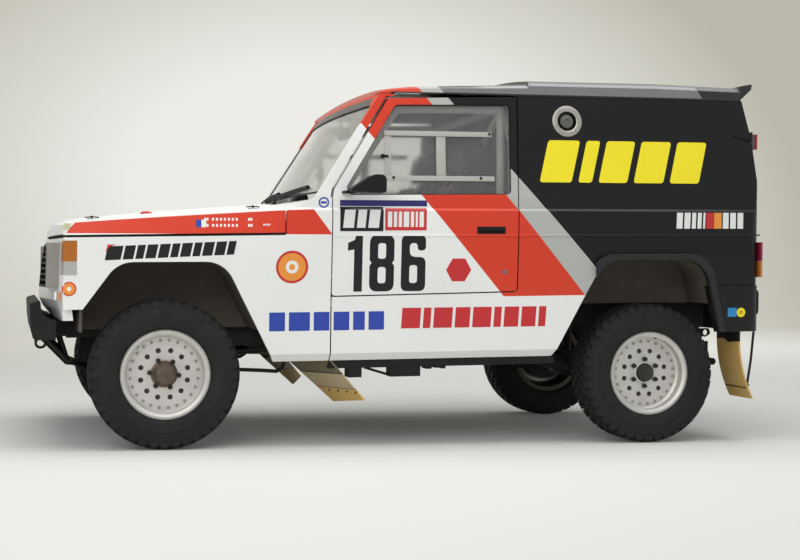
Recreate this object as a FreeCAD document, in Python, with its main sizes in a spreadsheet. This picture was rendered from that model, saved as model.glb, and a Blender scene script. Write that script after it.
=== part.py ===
"""Short-wheelbase three-door off-road rally car.

The front points to -X, the left side to -Y and up is +Z. The origin is on the ground, midway
between the axles. Body panels are drawn in a level frame and stand nose-down by the rake, so
that every shut line between panels stays upright.
"""
import FreeCAD, Part
import math
import os
from FreeCAD import Placement, Rotation, Vector

SIZES = {
    # stance
    "wheelbase": 2350,
    "track": 1440,
    "rake": 0.02,
    "panel_gap": 6,
    "seat_gap": 0.3,
    # wheels
    "tyre_radius": 340,
    "tyre_width": 225,
    "rim_radius": 202,
    "rim_wall": 8,
    "dish_depth": 62,
    "disc_thickness": 10,
    "rim_hole_radius": 12,
    "rim_hole_circle": 109,
    "rim_hole_count": 12,
    "hub_radius": 58,
    "hub_cap_radius": 40,
    "front_hub_reach": 50,
    "rear_hub_reach": 20,
    "brake_radius": 135,
    "brake_thickness": 22,
    # steering
    "kingpin_inset": 80,
    "knuckle_half_depth": 32,
    "knuckle_width": 56,
    "knuckle_height": 216,
    # body widths, insets from the widest line
    "body_half_width": 838,
    "sill_inset": 46,
    "side_inset": 12,
    "gutter_inset": 61,
    "tail_inset": 218,
    "wall": 46,
    # body heights, each above the one before it
    "sill_low": 411,
    "sill_round": 34,
    "low_crease_rise": 292,
    "mid_crease_rise": 287,
    "upper_crease_rise": 125,
    "belt_rise": 57,
    "gutter_rise": 490,
    # body lengths, from the axles
    "nose_reach": 461,
    "nose_bow": 84,
    "tail_reach": 580,
    "door_setback": 757,
    "door_lead": 693,
    # arches and flares
    "arch_round": 135,
    "flare_width": 43,
    "flare_reach": 26,
    # screen, roof and bonnet
    "screen_bow": 44,
    "glass_thickness": 6,
    "roof_crown": 44,
    "roof_skin": 18,
    "spoiler_reach": 52,
    "bonnet_crown": 52,
    "bonnet_skin": 22,
    # lamps
    "lamp_radius": 98,
    "lamp_inset": 200,
    # floor and frame
    "floor_skin": 22,
    "rail_inset": 135,
    "rail_width": 80,
    "rail_height": 110,
    "cross_tube": 34,
    "tow_hole": 16,
    # cage and cabin
    "cage_tube": 19,
    "seat_width": 470,
    "seat_inset": 59,
    "wheel_rim_radius": 170,
    "wheel_rim_tube": 14,
}

DERIVED = {
    "front_axle": "-wheelbase / 2",
    "rear_axle": "wheelbase / 2",
    "rim_width": "tyre_width - 29",
    "tread_width": "tyre_width - 65",
    "bead_radius": "rim_radius - 16",
    "kingpin_offset": "track / 2 - kingpin_inset",
    "sill_half_width": "body_half_width - sill_inset",
    "side_half_width": "body_half_width - side_inset",
    "gutter_half_width": "body_half_width - gutter_inset",
    "tail_half_width": "body_half_width - tail_inset",
    "low_crease": "sill_low + low_crease_rise",
    "mid_crease": "low_crease + mid_crease_rise",
    "upper_crease": "mid_crease + upper_crease_rise",
    "belt_height": "upper_crease + belt_rise",
    "gutter_height": "belt_height + gutter_rise",
    "floor_low": "sill_low + 244",
    "floor_top": "floor_low + floor_skin",
    "arch_top": "low_crease + 169",
    "bumper_low": "sill_low + 103",
    "bumper_top": "low_crease + 39",
    "wing_front_low": "low_crease - 41",
    "valance_low": "low_crease - 91",
    "door_low": "low_crease + 9",
    "bonnet_line_front": "mid_crease - 4",
    "bonnet_line_rear": "mid_crease + 10",
    "bonnet_crease_front": "bonnet_line_front + 61",
    "bonnet_crease_rear": "upper_crease - 9",
    "lamp_height": "mid_crease - 130",
    "screen_foot_height": "belt_height + 4",
    "screen_head_height": "gutter_height - 43",
    "pillar_head_height": "gutter_height - 30",
    "rear_lean_height": "upper_crease + 20",
    "roof_edge_front": "gutter_height + 36",
    "roof_edge_middle": "gutter_height + 56",
    "roof_edge_rear": "gutter_height + 73",
    "nose": "front_axle - nose_reach",
    "rear_face": "rear_axle + tail_reach",
    "rear_top": "rear_face - 87",
    "door_front": "front_axle + door_setback",
    "door_rear": "rear_axle - door_lead",
    "bonnet_rear": "door_front - 222",
    "screen_foot": "door_front - 75",
    "screen_head": "door_front + 203",
    "pillar_foot": "door_front + 9",
    "pillar_head": "door_front + 268",
    "window_front": "door_front + 78",
    "window_rear": "door_rear - 32",
    "roof_step": "door_rear + 63",
    "front_arch_rear_low": "front_axle + 491",
    "front_arch_rear_top": "front_axle + 257",
    "front_arch_front_top": "front_axle - 217",
    "front_arch_front_low": "front_axle - 370",
    "rear_arch_front_low": "rear_axle - 503",
    "rear_arch_front_top": "rear_axle - 249",
    "rear_arch_rear_top": "rear_axle + 267",
    "rear_arch_rear_low": "rear_axle + 353",
    "rail_low": "sill_low + 59",
    "rail_kick": "rail_low + 75",
    "rail_inner": "track / 2 - tyre_width - rail_inset",
    "lamp_offset": "body_half_width - lamp_inset",
    "seat_offset": "body_half_width / 2 - seat_inset",
    "bulkhead": "door_front - 142",
    "hoop": "door_rear - 52",
    "dash_face": "door_front + 88",
}

document = FreeCAD.newDocument("rally_car")
sheet = document.addObject("Spreadsheet::Sheet", "sizes")
cells = list(SIZES.items()) + [(alias, "=" + formula) for alias, formula in DERIVED.items()]
for row, (alias, value) in enumerate(cells, start=1):
    sheet.set("A%d" % row, alias)
    sheet.set("B%d" % row, str(value))
    sheet.setAlias("B%d" % row, alias)
document.recompute()


class Size:
    """Read a driving dimension from the sheet by its alias."""

    def __getattr__(self, alias):
        return float(sheet.get(alias))


size = Size()
kept = []

FRONT_AXLE = size.front_axle
REAR_AXLE = size.rear_axle
HUB_INNER = size.track / 2 - 36
LEFT, RIGHT = -1, 1
SIDES = (("left", LEFT), ("right", RIGHT))
FAR = 2500.0
PIN_RADIUS = 6
WING_SKIN = 30
TRANSFER_REAR = 170
TUB_INNER = size.rail_inner + 186


def keep(label, shape, placement=None):
    """Add one finished sub-part made with Part's own functions."""
    feature = document.addObject("Part::Feature", label)
    feature.Label = label
    feature.Shape = shape
    feature.Placement = placement or Placement()
    kept.append(feature)
    return feature


def keep_box(label, low, high):
    """Add a plain block between two corners given as expressions on the sheet."""
    block = document.addObject("Part::Box", label)
    block.Label = label
    for prop, start, end in zip(("Length", "Width", "Height"), low, high):
        block.setExpression(prop, "(%s) - (%s)" % (end, start))
    for axis, start in zip("xyz", low):
        block.setExpression("Placement.Base." + axis, start)
    kept.append(block)
    return block


def level(x, y, z):
    """Point of the level body frame, set down with the car's rake."""
    return Vector(x, y, z + size.rake * x)


def rounded_wire(corners, radii):
    """Closed wire through the corners, each rounded by its radius (0 keeps it sharp)."""
    edges = []
    starts = []
    ends = []
    mids = []
    count = len(corners)
    for index, corner in enumerate(corners):
        radius = radii[index]
        if radius <= 0:
            starts.append(corner)
            ends.append(corner)
            mids.append(None)
            continue
        back = (corners[index - 1] - corner).normalize()
        ahead = (corners[(index + 1) % count] - corner).normalize()
        half = back.getAngle(ahead) / 2
        reach = radius / math.tan(half)
        inward = (back + ahead).normalize()
        starts.append(corner + back * reach)
        ends.append(corner + ahead * reach)
        mids.append(corner + inward * (radius / math.sin(half) - radius))
    for index in range(count):
        if mids[index] is not None:
            edges.append(Part.Arc(starts[index], mids[index], ends[index]).toShape())
        following = (index + 1) % count
        if (starts[following] - ends[index]).Length > 0.01:
            edges.append(Part.LineSegment(ends[index], starts[following]).toShape())
    return Part.Wire(edges)


def prism(corners, direction, radii=None):
    """Solid swept from a planar outline along a direction."""
    wire = rounded_wire(corners, radii or [0] * len(corners))
    return Part.Face(wire).extrude(direction)


def side_prism(outline, y_from, y_to, radii=None):
    """Outline of (x, level height) pairs, swept across the car."""
    corners = [level(x, y_from, z) for x, z in outline]
    return prism(corners, Vector(0, y_to - y_from, 0), radii)


def length_prism(outline, x_from, x_to, radii=None):
    """Outline of (y, level height) pairs, swept along the raked car."""
    corners = [level(x_from, y, z) for y, z in outline]
    run = x_to - x_from
    return prism(corners, Vector(run, 0, size.rake * run), radii)


def plan_prism(outline, z_from, z_to, radii=None):
    """Outline of (x, y) pairs, swept upwards."""
    corners = [Vector(x, y, z_from) for x, y in outline]
    return prism(corners, Vector(0, 0, z_to - z_from), radii)


def block(x_from, x_to, y_from, y_to, z_from, z_to):
    """Raked block in the level body frame."""
    outline = [(x_from, z_from), (x_to, z_from), (x_to, z_to), (x_from, z_to)]
    return side_prism(outline, y_from, y_to)


def rod(start, end, radius):
    """Round bar between two points."""
    run = end - start
    return Part.makeCylinder(radius, run.Length, start, run)


def turned(profile, centre, axis, side):
    """Solid of (distance along the axis, radius) pairs turned about the axis."""
    points = [centre + axis * along + side * radius for along, radius in profile]
    face = Part.Face(Part.makePolygon(points + points[:1]))
    return face.revolve(centre, axis, 360)


def arc_strip(first, middle, last, thick, y_from, y_to):
    """Strip of even thickness bent through three points of the side view."""
    upper = Part.Arc(Vector(first.x, y_from, first.z), Vector(middle.x, y_from, middle.z),
                     Vector(last.x, y_from, last.z)).toShape()
    lower = upper.copy()
    lower.translate(thick)
    start, end = upper.Vertexes[0].Point, upper.Vertexes[-1].Point
    edges = [
        upper,
        Part.LineSegment(end, end + thick).toShape(),
        lower,
        Part.LineSegment(start + thick, start).toShape(),
    ]
    return Part.Face(Part.Wire(Part.__sortEdges__(edges))).extrude(Vector(0, y_to - y_from, 0))


def fuse(shapes):
    """One solid from pieces that are joined."""
    first, rest = shapes[0], shapes[1:]
    return first.fuse(rest).removeSplitter() if rest else first


def largest(shape):
    """The largest solid of a shape."""
    return max(shape.Solids, key=lambda solid: solid.Volume)


def mirrored(shape):
    """The same piece on the other side of the car."""
    return shape.mirror(Vector(0, 0, 0), Vector(0, 1, 0))


def both(shape):
    """A left piece and its mirror image as two solids of one sub-part."""
    return Part.makeCompound([shape, mirrored(shape)])


def sided(shape, side):
    """A piece drawn on the left, moved to the side asked for."""
    return shape if side == LEFT else mirrored(shape)


# Body shell

def section_half(inset):
    """Half section of the body from the sill to the gutter, drawn towards +Y."""
    return [
        (size.sill_half_width - inset, size.sill_low - 1),
        (size.side_half_width - inset, size.sill_low + size.sill_round),
        (size.side_half_width - inset, size.low_crease),
        (size.body_half_width - inset, size.mid_crease),
        (size.body_half_width - inset, size.upper_crease - 8),
        (size.side_half_width - inset, size.upper_crease + 4),
        (size.side_half_width - inset, size.belt_height),
        (size.gutter_half_width - inset, size.gutter_height + 1),
    ]


def half_width_at(height):
    """Half width of the glasshouse at a level height above the belt."""
    share = (height - size.belt_height) / (size.gutter_height - size.belt_height)
    return size.side_half_width + share * (size.gutter_half_width - size.side_half_width)


def hull(inset):
    """Closed body from the wing's front to the tail, up to the gutter."""
    half = section_half(inset)
    section = [(-y, z) for y, z in half] + list(reversed(half))
    barrel = length_prism(section, size.nose, size.rear_face + 40)
    rear = size.rear_face - inset
    lean = size.rear_lean_height
    rise = size.gutter_height - lean
    outline = [
        (size.nose, size.sill_low),
        (rear, size.sill_low),
        (rear, lean),
        (rear - 18, lean + 0.28 * rise),
        (rear - 40, lean + 0.63 * rise),
        (size.rear_top - inset, size.gutter_height),
        (size.nose, size.gutter_height),
    ]
    profile = side_prism(outline, -FAR, FAR)
    corner = size.body_half_width - inset
    rounding = max(20.0, 62.0 - inset / 2)
    plan = plan_prism(
        [(size.nose, -corner), (rear, -corner), (rear, corner), (size.nose, corner)],
        0, FAR, [0, rounding, rounding, 0])
    return barrel.common(profile).common(plan)


def rear_arch_outline(grow):
    """Rear wheel arch in side view, open at the bottom."""
    return [
        (size.rear_arch_front_low - grow, size.sill_low - 80),
        (size.rear_arch_front_low - grow, size.sill_low),
        (size.rear_arch_front_top - grow, size.arch_top + grow),
        (size.rear_arch_rear_top + grow, size.arch_top + grow),
        (size.rear_arch_rear_low + grow, size.bumper_low),
        (size.rear_arch_rear_low + grow, size.sill_low - 80),
    ]


def front_arch_outline(grow):
    """Front wheel arch in side view, open at the bottom."""
    return [
        (size.front_arch_rear_low + grow, size.sill_low - 80),
        (size.front_arch_rear_low + grow, size.sill_low),
        (size.front_arch_rear_top + grow, size.arch_top + grow),
        (size.front_arch_front_top - grow, size.arch_top + grow),
        (size.front_arch_front_low - grow, size.wing_front_low),
        (size.front_arch_front_low - grow, size.sill_low - 80),
    ]


ARCH_RADII = [0, 0, size.arch_round, size.arch_round, 0, 0]


def door_outline(grow):
    """Door edge in side view; grow 0 is the door and panel_gap its aperture."""
    return [
        (size.door_front - grow, size.door_low - grow),
        (size.door_rear + grow, size.door_low + 14 - grow),
        (size.door_rear + grow, size.gutter_height - 6 + grow),
        (size.pillar_head - grow * 0.5, size.pillar_head_height + 4 + grow),
        (size.pillar_foot - grow * 1.2, size.belt_height + 38),
        (size.door_front - grow, size.belt_height - 6),
    ]


def door_radii(grow):
    """Corner radii of the door edge; only the lower corners are round."""
    return [14 + grow, 14 + grow, 0, 0, 0, 0]


def window_outline(shrink):
    """Door window in side view, smaller all round by shrink."""
    return [
        (size.window_front + shrink, size.belt_height + 6 + shrink),
        (size.window_rear - shrink, size.belt_height + 14 + shrink),
        (size.window_rear - shrink, size.gutter_height - 44 - shrink),
        (size.pillar_head + 32 + shrink, size.gutter_height - 56 - shrink),
        (size.window_front - 16 + shrink, size.belt_height + 42),
    ]


def window_radii(shrink):
    """Corner radii of the door window."""
    return [20 - shrink, 22 - shrink, 26 - shrink, 30 - shrink, 20 - shrink]


outer_hull = hull(0)
shell = outer_hull.cut(hull(size.wall))


def make_body_sides():
    """Sill, door post, quarter and rear corner, one solid on each side."""
    top = size.gutter_height - 0.01
    side = shell.common(side_prism(
        [(size.door_front, 300), (FAR, 300), (FAR, top), (size.door_front, top)], -FAR, -size.tail_half_width))
    foot = size.door_low - size.panel_gap
    head = size.gutter_height - size.panel_gap
    forward = side_prism([(-FAR, foot), (size.door_front + 4, foot), (size.door_rear, head),
                          (size.door_rear, FAR), (-FAR, FAR)], -FAR, 0)
    side = side.cut(side_prism(door_outline(size.panel_gap), -FAR, 0, door_radii(size.panel_gap)))
    side = side.cut(forward)
    side = side.cut(side_prism(rear_arch_outline(0), -FAR, 0, ARCH_RADII))
    side = side.cut(block(size.rear_arch_rear_top - 60, FAR, -FAR, 0, 0, size.bumper_top))
    side = largest(side)
    bolt = size.panel_gap - size.seat_gap
    pin_y = size.side_half_width - 11
    striker = Part.makeCylinder(PIN_RADIUS, bolt + 4,
                                level(size.door_rear + size.seat_gap, -pin_y, size.mid_crease - 90),
                                Vector(1, 0, 0))
    pieces = [side, striker]
    for height in (size.mid_crease - 130, size.belt_height - 12):
        pieces.append(Part.makeCylinder(PIN_RADIUS, bolt + 4,
                                        level(size.rear_face - 36, -size.tail_half_width + bolt, height),
                                        Vector(0, -1, 0)))
    left = fuse(pieces)
    neck = level(size.door_rear + 256, -half_width_at(size.gutter_height - 102) + 22, size.gutter_height - 102)
    well = Part.makeCylinder(58, 120, neck, Vector(0, -1, 0))
    keep("body_sides", Part.makeCompound([left.cut(well), mirrored(left)]))


def make_doors():
    """Doors with their window frames and handle wells, and the glass in them."""
    door = shell.common(side_prism(door_outline(0), -FAR, 0, door_radii(0)))
    door = door.cut(side_prism(window_outline(0), -FAR, 0, window_radii(0)))
    door = largest(door).cut(handle_block(0))
    middle = size.wall * 0.35
    pane = hull(middle).cut(hull(middle + size.glass_thickness))
    pane = largest(pane.common(side_prism(window_outline(size.seat_gap), -FAR, 0, window_radii(size.seat_gap))))
    for name, side in SIDES:
        keep("door_" + name, sided(door, side))
        keep("door_glass_" + name, sided(pane, side))


def handle_block(shrink):
    """Block of the door handle's well, smaller all round by shrink."""
    depth = size.body_half_width - 14
    return block(size.door_rear - 205 + shrink, size.door_rear - 64 - shrink, -FAR, -depth - shrink,
                 size.mid_crease + 8 + shrink, size.mid_crease + 42 - shrink)


def make_door_fittings():
    """Handle cup and door mirror of each door."""
    face = size.body_half_width + 2
    cup = handle_block(size.seat_gap).common(block(-FAR, FAR, -face, 0, 0, FAR))
    scoop = block(size.door_rear - 195, size.door_rear - 74, -FAR, -face + 10, size.mid_crease + 12,
                  size.mid_crease + 28)
    cup = cup.cut(scoop)
    tip = size.door_front + 37
    foot = size.belt_height + 10
    tail = tip + 177
    head = side_prism([(tip, foot + 8), (tail, foot), (tail, foot + 82), (tail - 58, foot + 84)],
                      -size.body_half_width - 150, -size.body_half_width - 46, [7, 12, 24, 46])
    arm = block(tip + 4, tip + 54, -size.body_half_width - 60, -size.body_half_width + 40, foot + 2, foot + 14)
    mirror = fuse([head, arm.cut(outer_hull)])
    for name, side in SIDES:
        keep("door_fittings_" + name, Part.makeCompound([sided(cup, side), sided(mirror, side)]))


def make_tailgate():
    """Side-hinged tailgate and its glass."""
    gap = size.panel_gap
    slack = size.seat_gap
    low = size.bumper_top - 20 + gap
    high = size.gutter_height - 44
    reach = size.tail_half_width - gap
    leaf = shell.common(length_prism(
        [(-reach, low), (reach, low), (reach, high), (-reach, high)],
        size.rear_top - 160, FAR, [40, 40, 60, 60]))
    leaf = leaf.cut(block(-FAR, size.rear_top - 120, -FAR, FAR, 0, FAR))
    sill, head, half = size.belt_height + 28, high - 70, reach - 114

    def opening(shrink):
        return [(-half + shrink, sill + shrink), (half - shrink, sill + shrink),
                (half - shrink, head - shrink), (-half + shrink, head - shrink)]

    leaf = leaf.cut(length_prism(opening(0), 0, FAR, [50] * 4))
    pane = hull(18).cut(hull(18 + size.glass_thickness))
    pane = pane.common(length_prism(opening(slack), REAR_AXLE - 175, FAR, [50 - slack] * 4))
    keep("tailgate", largest(leaf))
    keep("tailgate_glass", largest(pane))


def tail_header():
    """Rail above the tailgate, closed in by the roof."""
    reach = size.tail_half_width - size.seat_gap
    rail = shell.common(block(size.rear_top - 168, FAR, -reach, reach,
                              size.gutter_height - 44 + size.panel_gap, size.gutter_height - size.seat_gap))
    return largest(rail.cut(block(-FAR, size.rear_top - 140, -FAR, FAR, 0, FAR)))


def roof_section(x, edge, crown, half_width):
    """Closed roof section: gutter, upright edge and crowned top."""
    low = size.gutter_height + size.seat_gap
    points = [
        level(x, -half_width, low),
        level(x, -half_width + 4, (low + 2 * edge) / 3),
        level(x, -half_width + 26, edge),
    ]
    others = [Vector(p.x, -p.y, p.z) for p in reversed(points)]
    edges = [
        Part.LineSegment(points[0], points[1]).toShape(),
        Part.LineSegment(points[1], points[2]).toShape(),
        Part.Arc(points[2], level(x, 0, edge + crown), others[0]).toShape(),
        Part.LineSegment(others[0], others[1]).toShape(),
        Part.LineSegment(others[1], others[2]).toShape(),
        Part.LineSegment(others[2], points[0]).toShape(),
    ]
    return Part.Wire(edges)


def roof_loft(stations):
    """Solid through roof sections."""
    return Part.makeLoft([roof_section(*station) for station in stations], True, True)


def roof_void(stations):
    """Space below the roof skin, open at the gutter."""
    wires = []
    skin = size.roof_skin
    for x, edge, crown, half_width in stations:
        wires.append(crowned_section(x, size.gutter_height - 5, edge - skin, crown,
                                     half_width - size.wall, 6))
    return Part.makeLoft(wires, True, True)


def front_roof(half):
    """Front roof skin over the doors."""
    head = size.screen_head + 22
    edge = size.roof_edge_front
    crown = size.roof_crown
    middle = head + 150 + 0.317 * (size.roof_step - head - 150)
    stations = [
        (head, size.gutter_height + 12, 22, half),
        (head + 60, edge - 14, 40, half),
        (head + 150, edge - 4, crown, half),
        (middle, edge + 4, crown, half),
        (size.roof_step, size.roof_edge_middle, crown, half),
    ]
    hollow = [
        (head + 100, edge - 9, 42, half),
        (head + 150, edge - 4, crown, half),
        (middle, edge + 4, crown, half),
        (size.roof_step, size.roof_edge_middle, crown, half),
        (size.roof_step + 40, size.roof_edge_middle, crown, half),
    ]
    return roof_loft(stations).cut(roof_void(hollow))


def rear_roof(half):
    """Raised rear roof behind the step."""
    step = size.roof_step + size.seat_gap
    edge = size.roof_edge_rear
    crown = size.roof_crown
    tail = size.rear_top - 6
    over_axle = REAR_AXLE + 25
    skin = roof_loft([(step, edge, crown, half), (over_axle, edge + 3, crown, half),
                      (tail, edge - 8, crown, half)])
    hollow = roof_void([(step - 30, size.roof_edge_middle, crown, half), (over_axle, edge + 3, crown, half),
                        (tail - 50, edge - 8, crown, half)])
    return skin.cut(hollow)


def rear_lip(half):
    """Spoiler lip that runs across the rear end of the roof."""
    tail = size.rear_top - 6 + size.seat_gap
    top = size.roof_edge_rear + 8
    reach = size.spoiler_reach
    outline = [(tail, top - 70), (tail + 8, top - 70), (tail + reach + 8, top - 22),
               (tail + reach + 14, top + 4), (tail + reach, top + 4), (tail, top - 6)]
    return side_prism(outline, -half + 10, half - 10, [0, 0, 6, 5, 5, 0])


def make_roof():
    """Roof: front skin, raised rear part, spoiler lip and the rail above the tailgate."""
    half = size.gutter_half_width + 4
    keep("roof", Part.makeCompound([front_roof(half), rear_roof(half), rear_lip(half), tail_header()]))


def screen_arc(x, z, half, bow, thickness):
    """Closed wire between two arcs across the car, bowed towards the front."""
    outer = Part.Arc(level(x, -half, z), level(x - bow, 0, z), level(x, half, z))
    inner = Part.Arc(level(x + thickness, -half, z), level(x - bow + thickness, 0, z),
                     level(x + thickness, half, z))
    edges = [
        outer.toShape(),
        Part.LineSegment(level(x, half, z), level(x + thickness, half, z)).toShape(),
        inner.toShape(),
        Part.LineSegment(level(x + thickness, -half, z), level(x, -half, z)).toShape(),
    ]
    return Part.Wire(Part.__sortEdges__(edges))


def screen_line(height):
    """Lengthwise place of the screen's side edge at a level height."""
    slope = (size.screen_head - size.screen_foot) / (size.screen_head_height - size.screen_foot_height)
    return size.screen_foot + slope * (height - size.screen_foot_height)


def make_screen():
    """Windscreen and the frame around it: two pillars and the header."""
    low = size.screen_foot_height + 16
    high = size.screen_head_height - 16
    inset = size.wall + size.seat_gap
    glass = Part.makeLoft([
        screen_arc(screen_line(low) + 8, low, half_width_at(low) - inset, size.screen_bow, size.glass_thickness),
        screen_arc(screen_line(high) + 8, high, half_width_at(high) - inset, size.screen_bow, size.glass_thickness),
    ], True, True)
    keep("windscreen", glass)
    top = size.gutter_height - 0.2
    band = side_prism([
        (size.screen_foot - 6, size.screen_foot_height - 8),
        (size.screen_head - 2, size.screen_head_height),
        (size.screen_head + 26, top),
        (size.pillar_head + 34, top),
        (size.pillar_head + 24, size.pillar_head_height + 14),
        (size.pillar_head - 12, size.pillar_head_height + 14),
        (size.pillar_foot - 14, size.belt_height + 40),
        (size.pillar_foot - 22, size.screen_foot_height - 8),
    ], -FAR, FAR)
    pillars = [solid for solid in shell.common(band).Solids if abs(solid.CenterOfMass.y) > size.rail_inner]
    header_low = size.screen_head_height - 10
    header_half = size.gutter_half_width - size.wall / 2
    header = Part.makeLoft([
        screen_arc(screen_line(header_low) + 4, header_low, header_half, size.screen_bow, 44),
        screen_arc(screen_line(top) + 4, top, header_half, size.screen_bow, 60),
    ], True, True)
    frame = fuse(pillars + [header.common(outer_hull)]).cut(glass)
    frame = frame.cut(side_prism(door_outline(size.panel_gap), -FAR, FAR))
    keep("windscreen_frame", largest(frame))


def crowned_section(x, low, shoulder, crown, half, narrow):
    """Closed section with upright sides to the shoulder and a crowned top."""
    left_low = level(x, -half, low)
    left_top = level(x, -half + narrow, shoulder)
    right_top = level(x, half - narrow, shoulder)
    right_low = level(x, half, low)
    edges = [
        Part.LineSegment(left_low, left_top).toShape(),
        Part.Arc(left_top, level(x, 0, shoulder + crown), right_top).toShape(),
        Part.LineSegment(right_top, right_low).toShape(),
        Part.LineSegment(right_low, left_low).toShape(),
    ]
    return Part.Wire(edges)


def crease_at(x):
    """Level height of the bonnet's side crease."""
    share = (x - size.nose) / (size.bonnet_rear - size.nose)
    return size.bonnet_crease_front + share * (size.bonnet_crease_rear - size.bonnet_crease_front)


def nose_profile():
    """Bow of the nose at its centre by level height: rolled under below, leaning back above."""
    bow = size.nose_bow
    return [
        (size.valance_low - 400, 0.2 * bow),
        (size.valance_low, 0.25 * bow),
        (size.wing_front_low + 2, 0.76 * bow),
        (size.low_crease + 1, 0.99 * bow),
        (size.low_crease + 48, bow),
        (size.lamp_height + 16, 0.88 * bow),
        (size.bonnet_line_front, 0.67 * bow),
        (size.bonnet_crease_front, 0.41 * bow),
        (size.gutter_height, 0.0),
    ]


def ahead_of_nose(shift):
    """Everything ahead of the nose's surface, moved forward by shift."""
    half = size.body_half_width + 30
    corner = size.nose + 14 - shift
    wires = []
    for height, bow in nose_profile():
        z = height + size.rake * size.nose
        left, right = Vector(corner, -half, z), Vector(corner, half, z)
        edges = [
            Part.Arc(left, Vector(size.nose - bow - shift, 0, z), right).toShape(),
            Part.LineSegment(right, Vector(-FAR, half, z)).toShape(),
            Part.LineSegment(Vector(-FAR, half, z), Vector(-FAR, -half, z)).toShape(),
            Part.LineSegment(Vector(-FAR, -half, z), left).toShape(),
        ]
        wires.append(Part.Wire(edges))
    return Part.makeLoft(wires, True, True)


def make_bonnet():
    """Clamshell bonnet, hollow below."""
    gap = size.panel_gap
    rear = size.bonnet_rear
    front = size.nose - size.nose_bow - 10
    half = size.body_half_width - 4
    skin = size.bonnet_skin
    crown = size.bonnet_crown
    line = size.bonnet_line_front
    curve = [(front, 34, 0.45), (size.nose + 60, 0, 0.64), (size.nose + 420, 0, 0.98), (rear, 0, 1.08)]
    stations = [crowned_section(x, line + gap / 2, crease_at(x) - dip, crown * share, half, 18)
                for x, dip, share in curve]
    curve[0] = (front + 40, 30, 0.45)
    curve[-1] = (rear - 30, 0, 1.08)
    hollows = [crowned_section(x, line - 20, crease_at(x) - dip - skin, crown * share, half - skin, 18)
               for x, dip, share in curve]
    bonnet = Part.makeLoft(stations, True, True).cut(Part.makeLoft(hollows, True, True))
    bonnet = bonnet.cut(ahead_of_nose(0))
    below = side_prism([
        (-FAR, line + gap / 2), (size.nose, line + gap / 2),
        (rear, size.bonnet_line_rear + gap / 2), (rear, 0), (-FAR, 0)], -FAR, FAR)
    keep("bonnet", largest(bonnet.cut(below)))


def make_scuttle():
    """Panel between bonnet and screen, with the bulkhead below it."""
    front = size.bonnet_rear + size.panel_gap
    rear = size.screen_foot + 2
    half = size.side_half_width - size.wall - 2
    low = size.upper_crease - 55
    top = Part.makeLoft([
        crowned_section(front, low, size.bonnet_crease_rear - 4, size.bonnet_crown - 2, half, 4),
        crowned_section(rear, low, size.screen_foot_height - 16, 12, half, 4),
    ], True, True)
    bulkhead = block(size.bulkhead, size.bulkhead + 20, -half, half, size.floor_low, low + 5)
    foot = block(rear - 6, rear + 46, -half, half, low, size.screen_foot_height - 14)
    keep("scuttle", fuse([top, bulkhead, foot]))


def corner_lamp_block(shrink):
    """Block of the wrap-round lamp at the wing's front corner."""
    inner = size.body_half_width - 70
    return block(size.nose - 90, size.nose + 64 - shrink, -FAR, -inner - shrink,
                 size.lamp_height - 44 + shrink, size.lamp_height + 108 - shrink)


def make_wings():
    """Front wings, one solid on each side."""
    gap = size.panel_gap
    low = size.sill_low - 60
    outline = [
        (size.front_arch_rear_low - 300, low),
        (size.door_front - gap, low),
        (size.door_front - gap, size.belt_height - 4),
        (size.pillar_foot - 24, size.screen_foot_height - 8.3),
        (size.screen_foot - 6, size.screen_foot_height - 8.3),
        (size.bonnet_rear + gap, size.bonnet_crease_rear - 2),
        (size.bonnet_rear + gap, size.bonnet_line_rear - gap / 2),
        (size.nose - 60, size.bonnet_line_front - gap / 2),
        (size.nose - 60, size.wing_front_low),
        (size.front_arch_front_low, size.wing_front_low),
    ]
    wing = outer_hull.cut(hull(WING_SKIN)).common(side_prism(outline, -FAR, -size.body_half_width + 130))
    wing = wing.cut(side_prism(front_arch_outline(0), -FAR, 0, ARCH_RADII))
    wing = largest(wing.cut(ahead_of_nose(0)).cut(corner_lamp_block(0)))
    bolt = gap - size.seat_gap
    pin_y = size.side_half_width - 11
    pins = []
    for height in (size.low_crease + 97, size.upper_crease - 35):
        pins.append(Part.makeCylinder(PIN_RADIUS, bolt + 4, level(size.door_front - gap - 4, -pin_y, height),
                                      Vector(1, 0, 0)))
    for share in (0.16, 0.74):
        x = size.nose + share * (size.bonnet_rear - size.nose)
        line = size.bonnet_line_front + share * (size.bonnet_line_rear - size.bonnet_line_front)
        pins.append(Part.makeCylinder(PIN_RADIUS, bolt + 4,
                                      level(x, -size.body_half_width + 15, line - gap / 2 - 4)))
    keep("front_wings", both(fuse([wing] + pins)))


def make_liners():
    """Arch liners inside the front wings, and the tubs over the rear wheels."""
    thick = 14
    inner_y = size.rail_inner + 110
    front = side_prism(front_arch_outline(thick), -FAR, -inner_y, ARCH_RADII)
    front = front.cut(side_prism(front_arch_outline(0), -FAR, -inner_y - thick, ARCH_RADII))
    front = front.common(block(-FAR, size.front_arch_rear_low, -FAR, 0, size.low_crease - 143, FAR))
    front = largest(front.common(hull(WING_SKIN + size.seat_gap)))
    tub = side_prism(rear_arch_outline(thick), -FAR, -TUB_INNER, ARCH_RADII)
    tub = tub.cut(side_prism(rear_arch_outline(0), -FAR, -TUB_INNER - thick, ARCH_RADII))
    tub = tub.common(block(-FAR, FAR, -FAR, 0, size.floor_low, FAR))
    tub = largest(tub.common(hull(size.wall + size.seat_gap)))
    keep("arch_liners", Part.makeCompound([front, mirrored(front), tub, mirrored(tub)]))


def lamp_seat(side):
    """Centre of a headlamp's rear face."""
    return level(size.nose - 44, side * size.lamp_offset, size.lamp_height)


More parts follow.
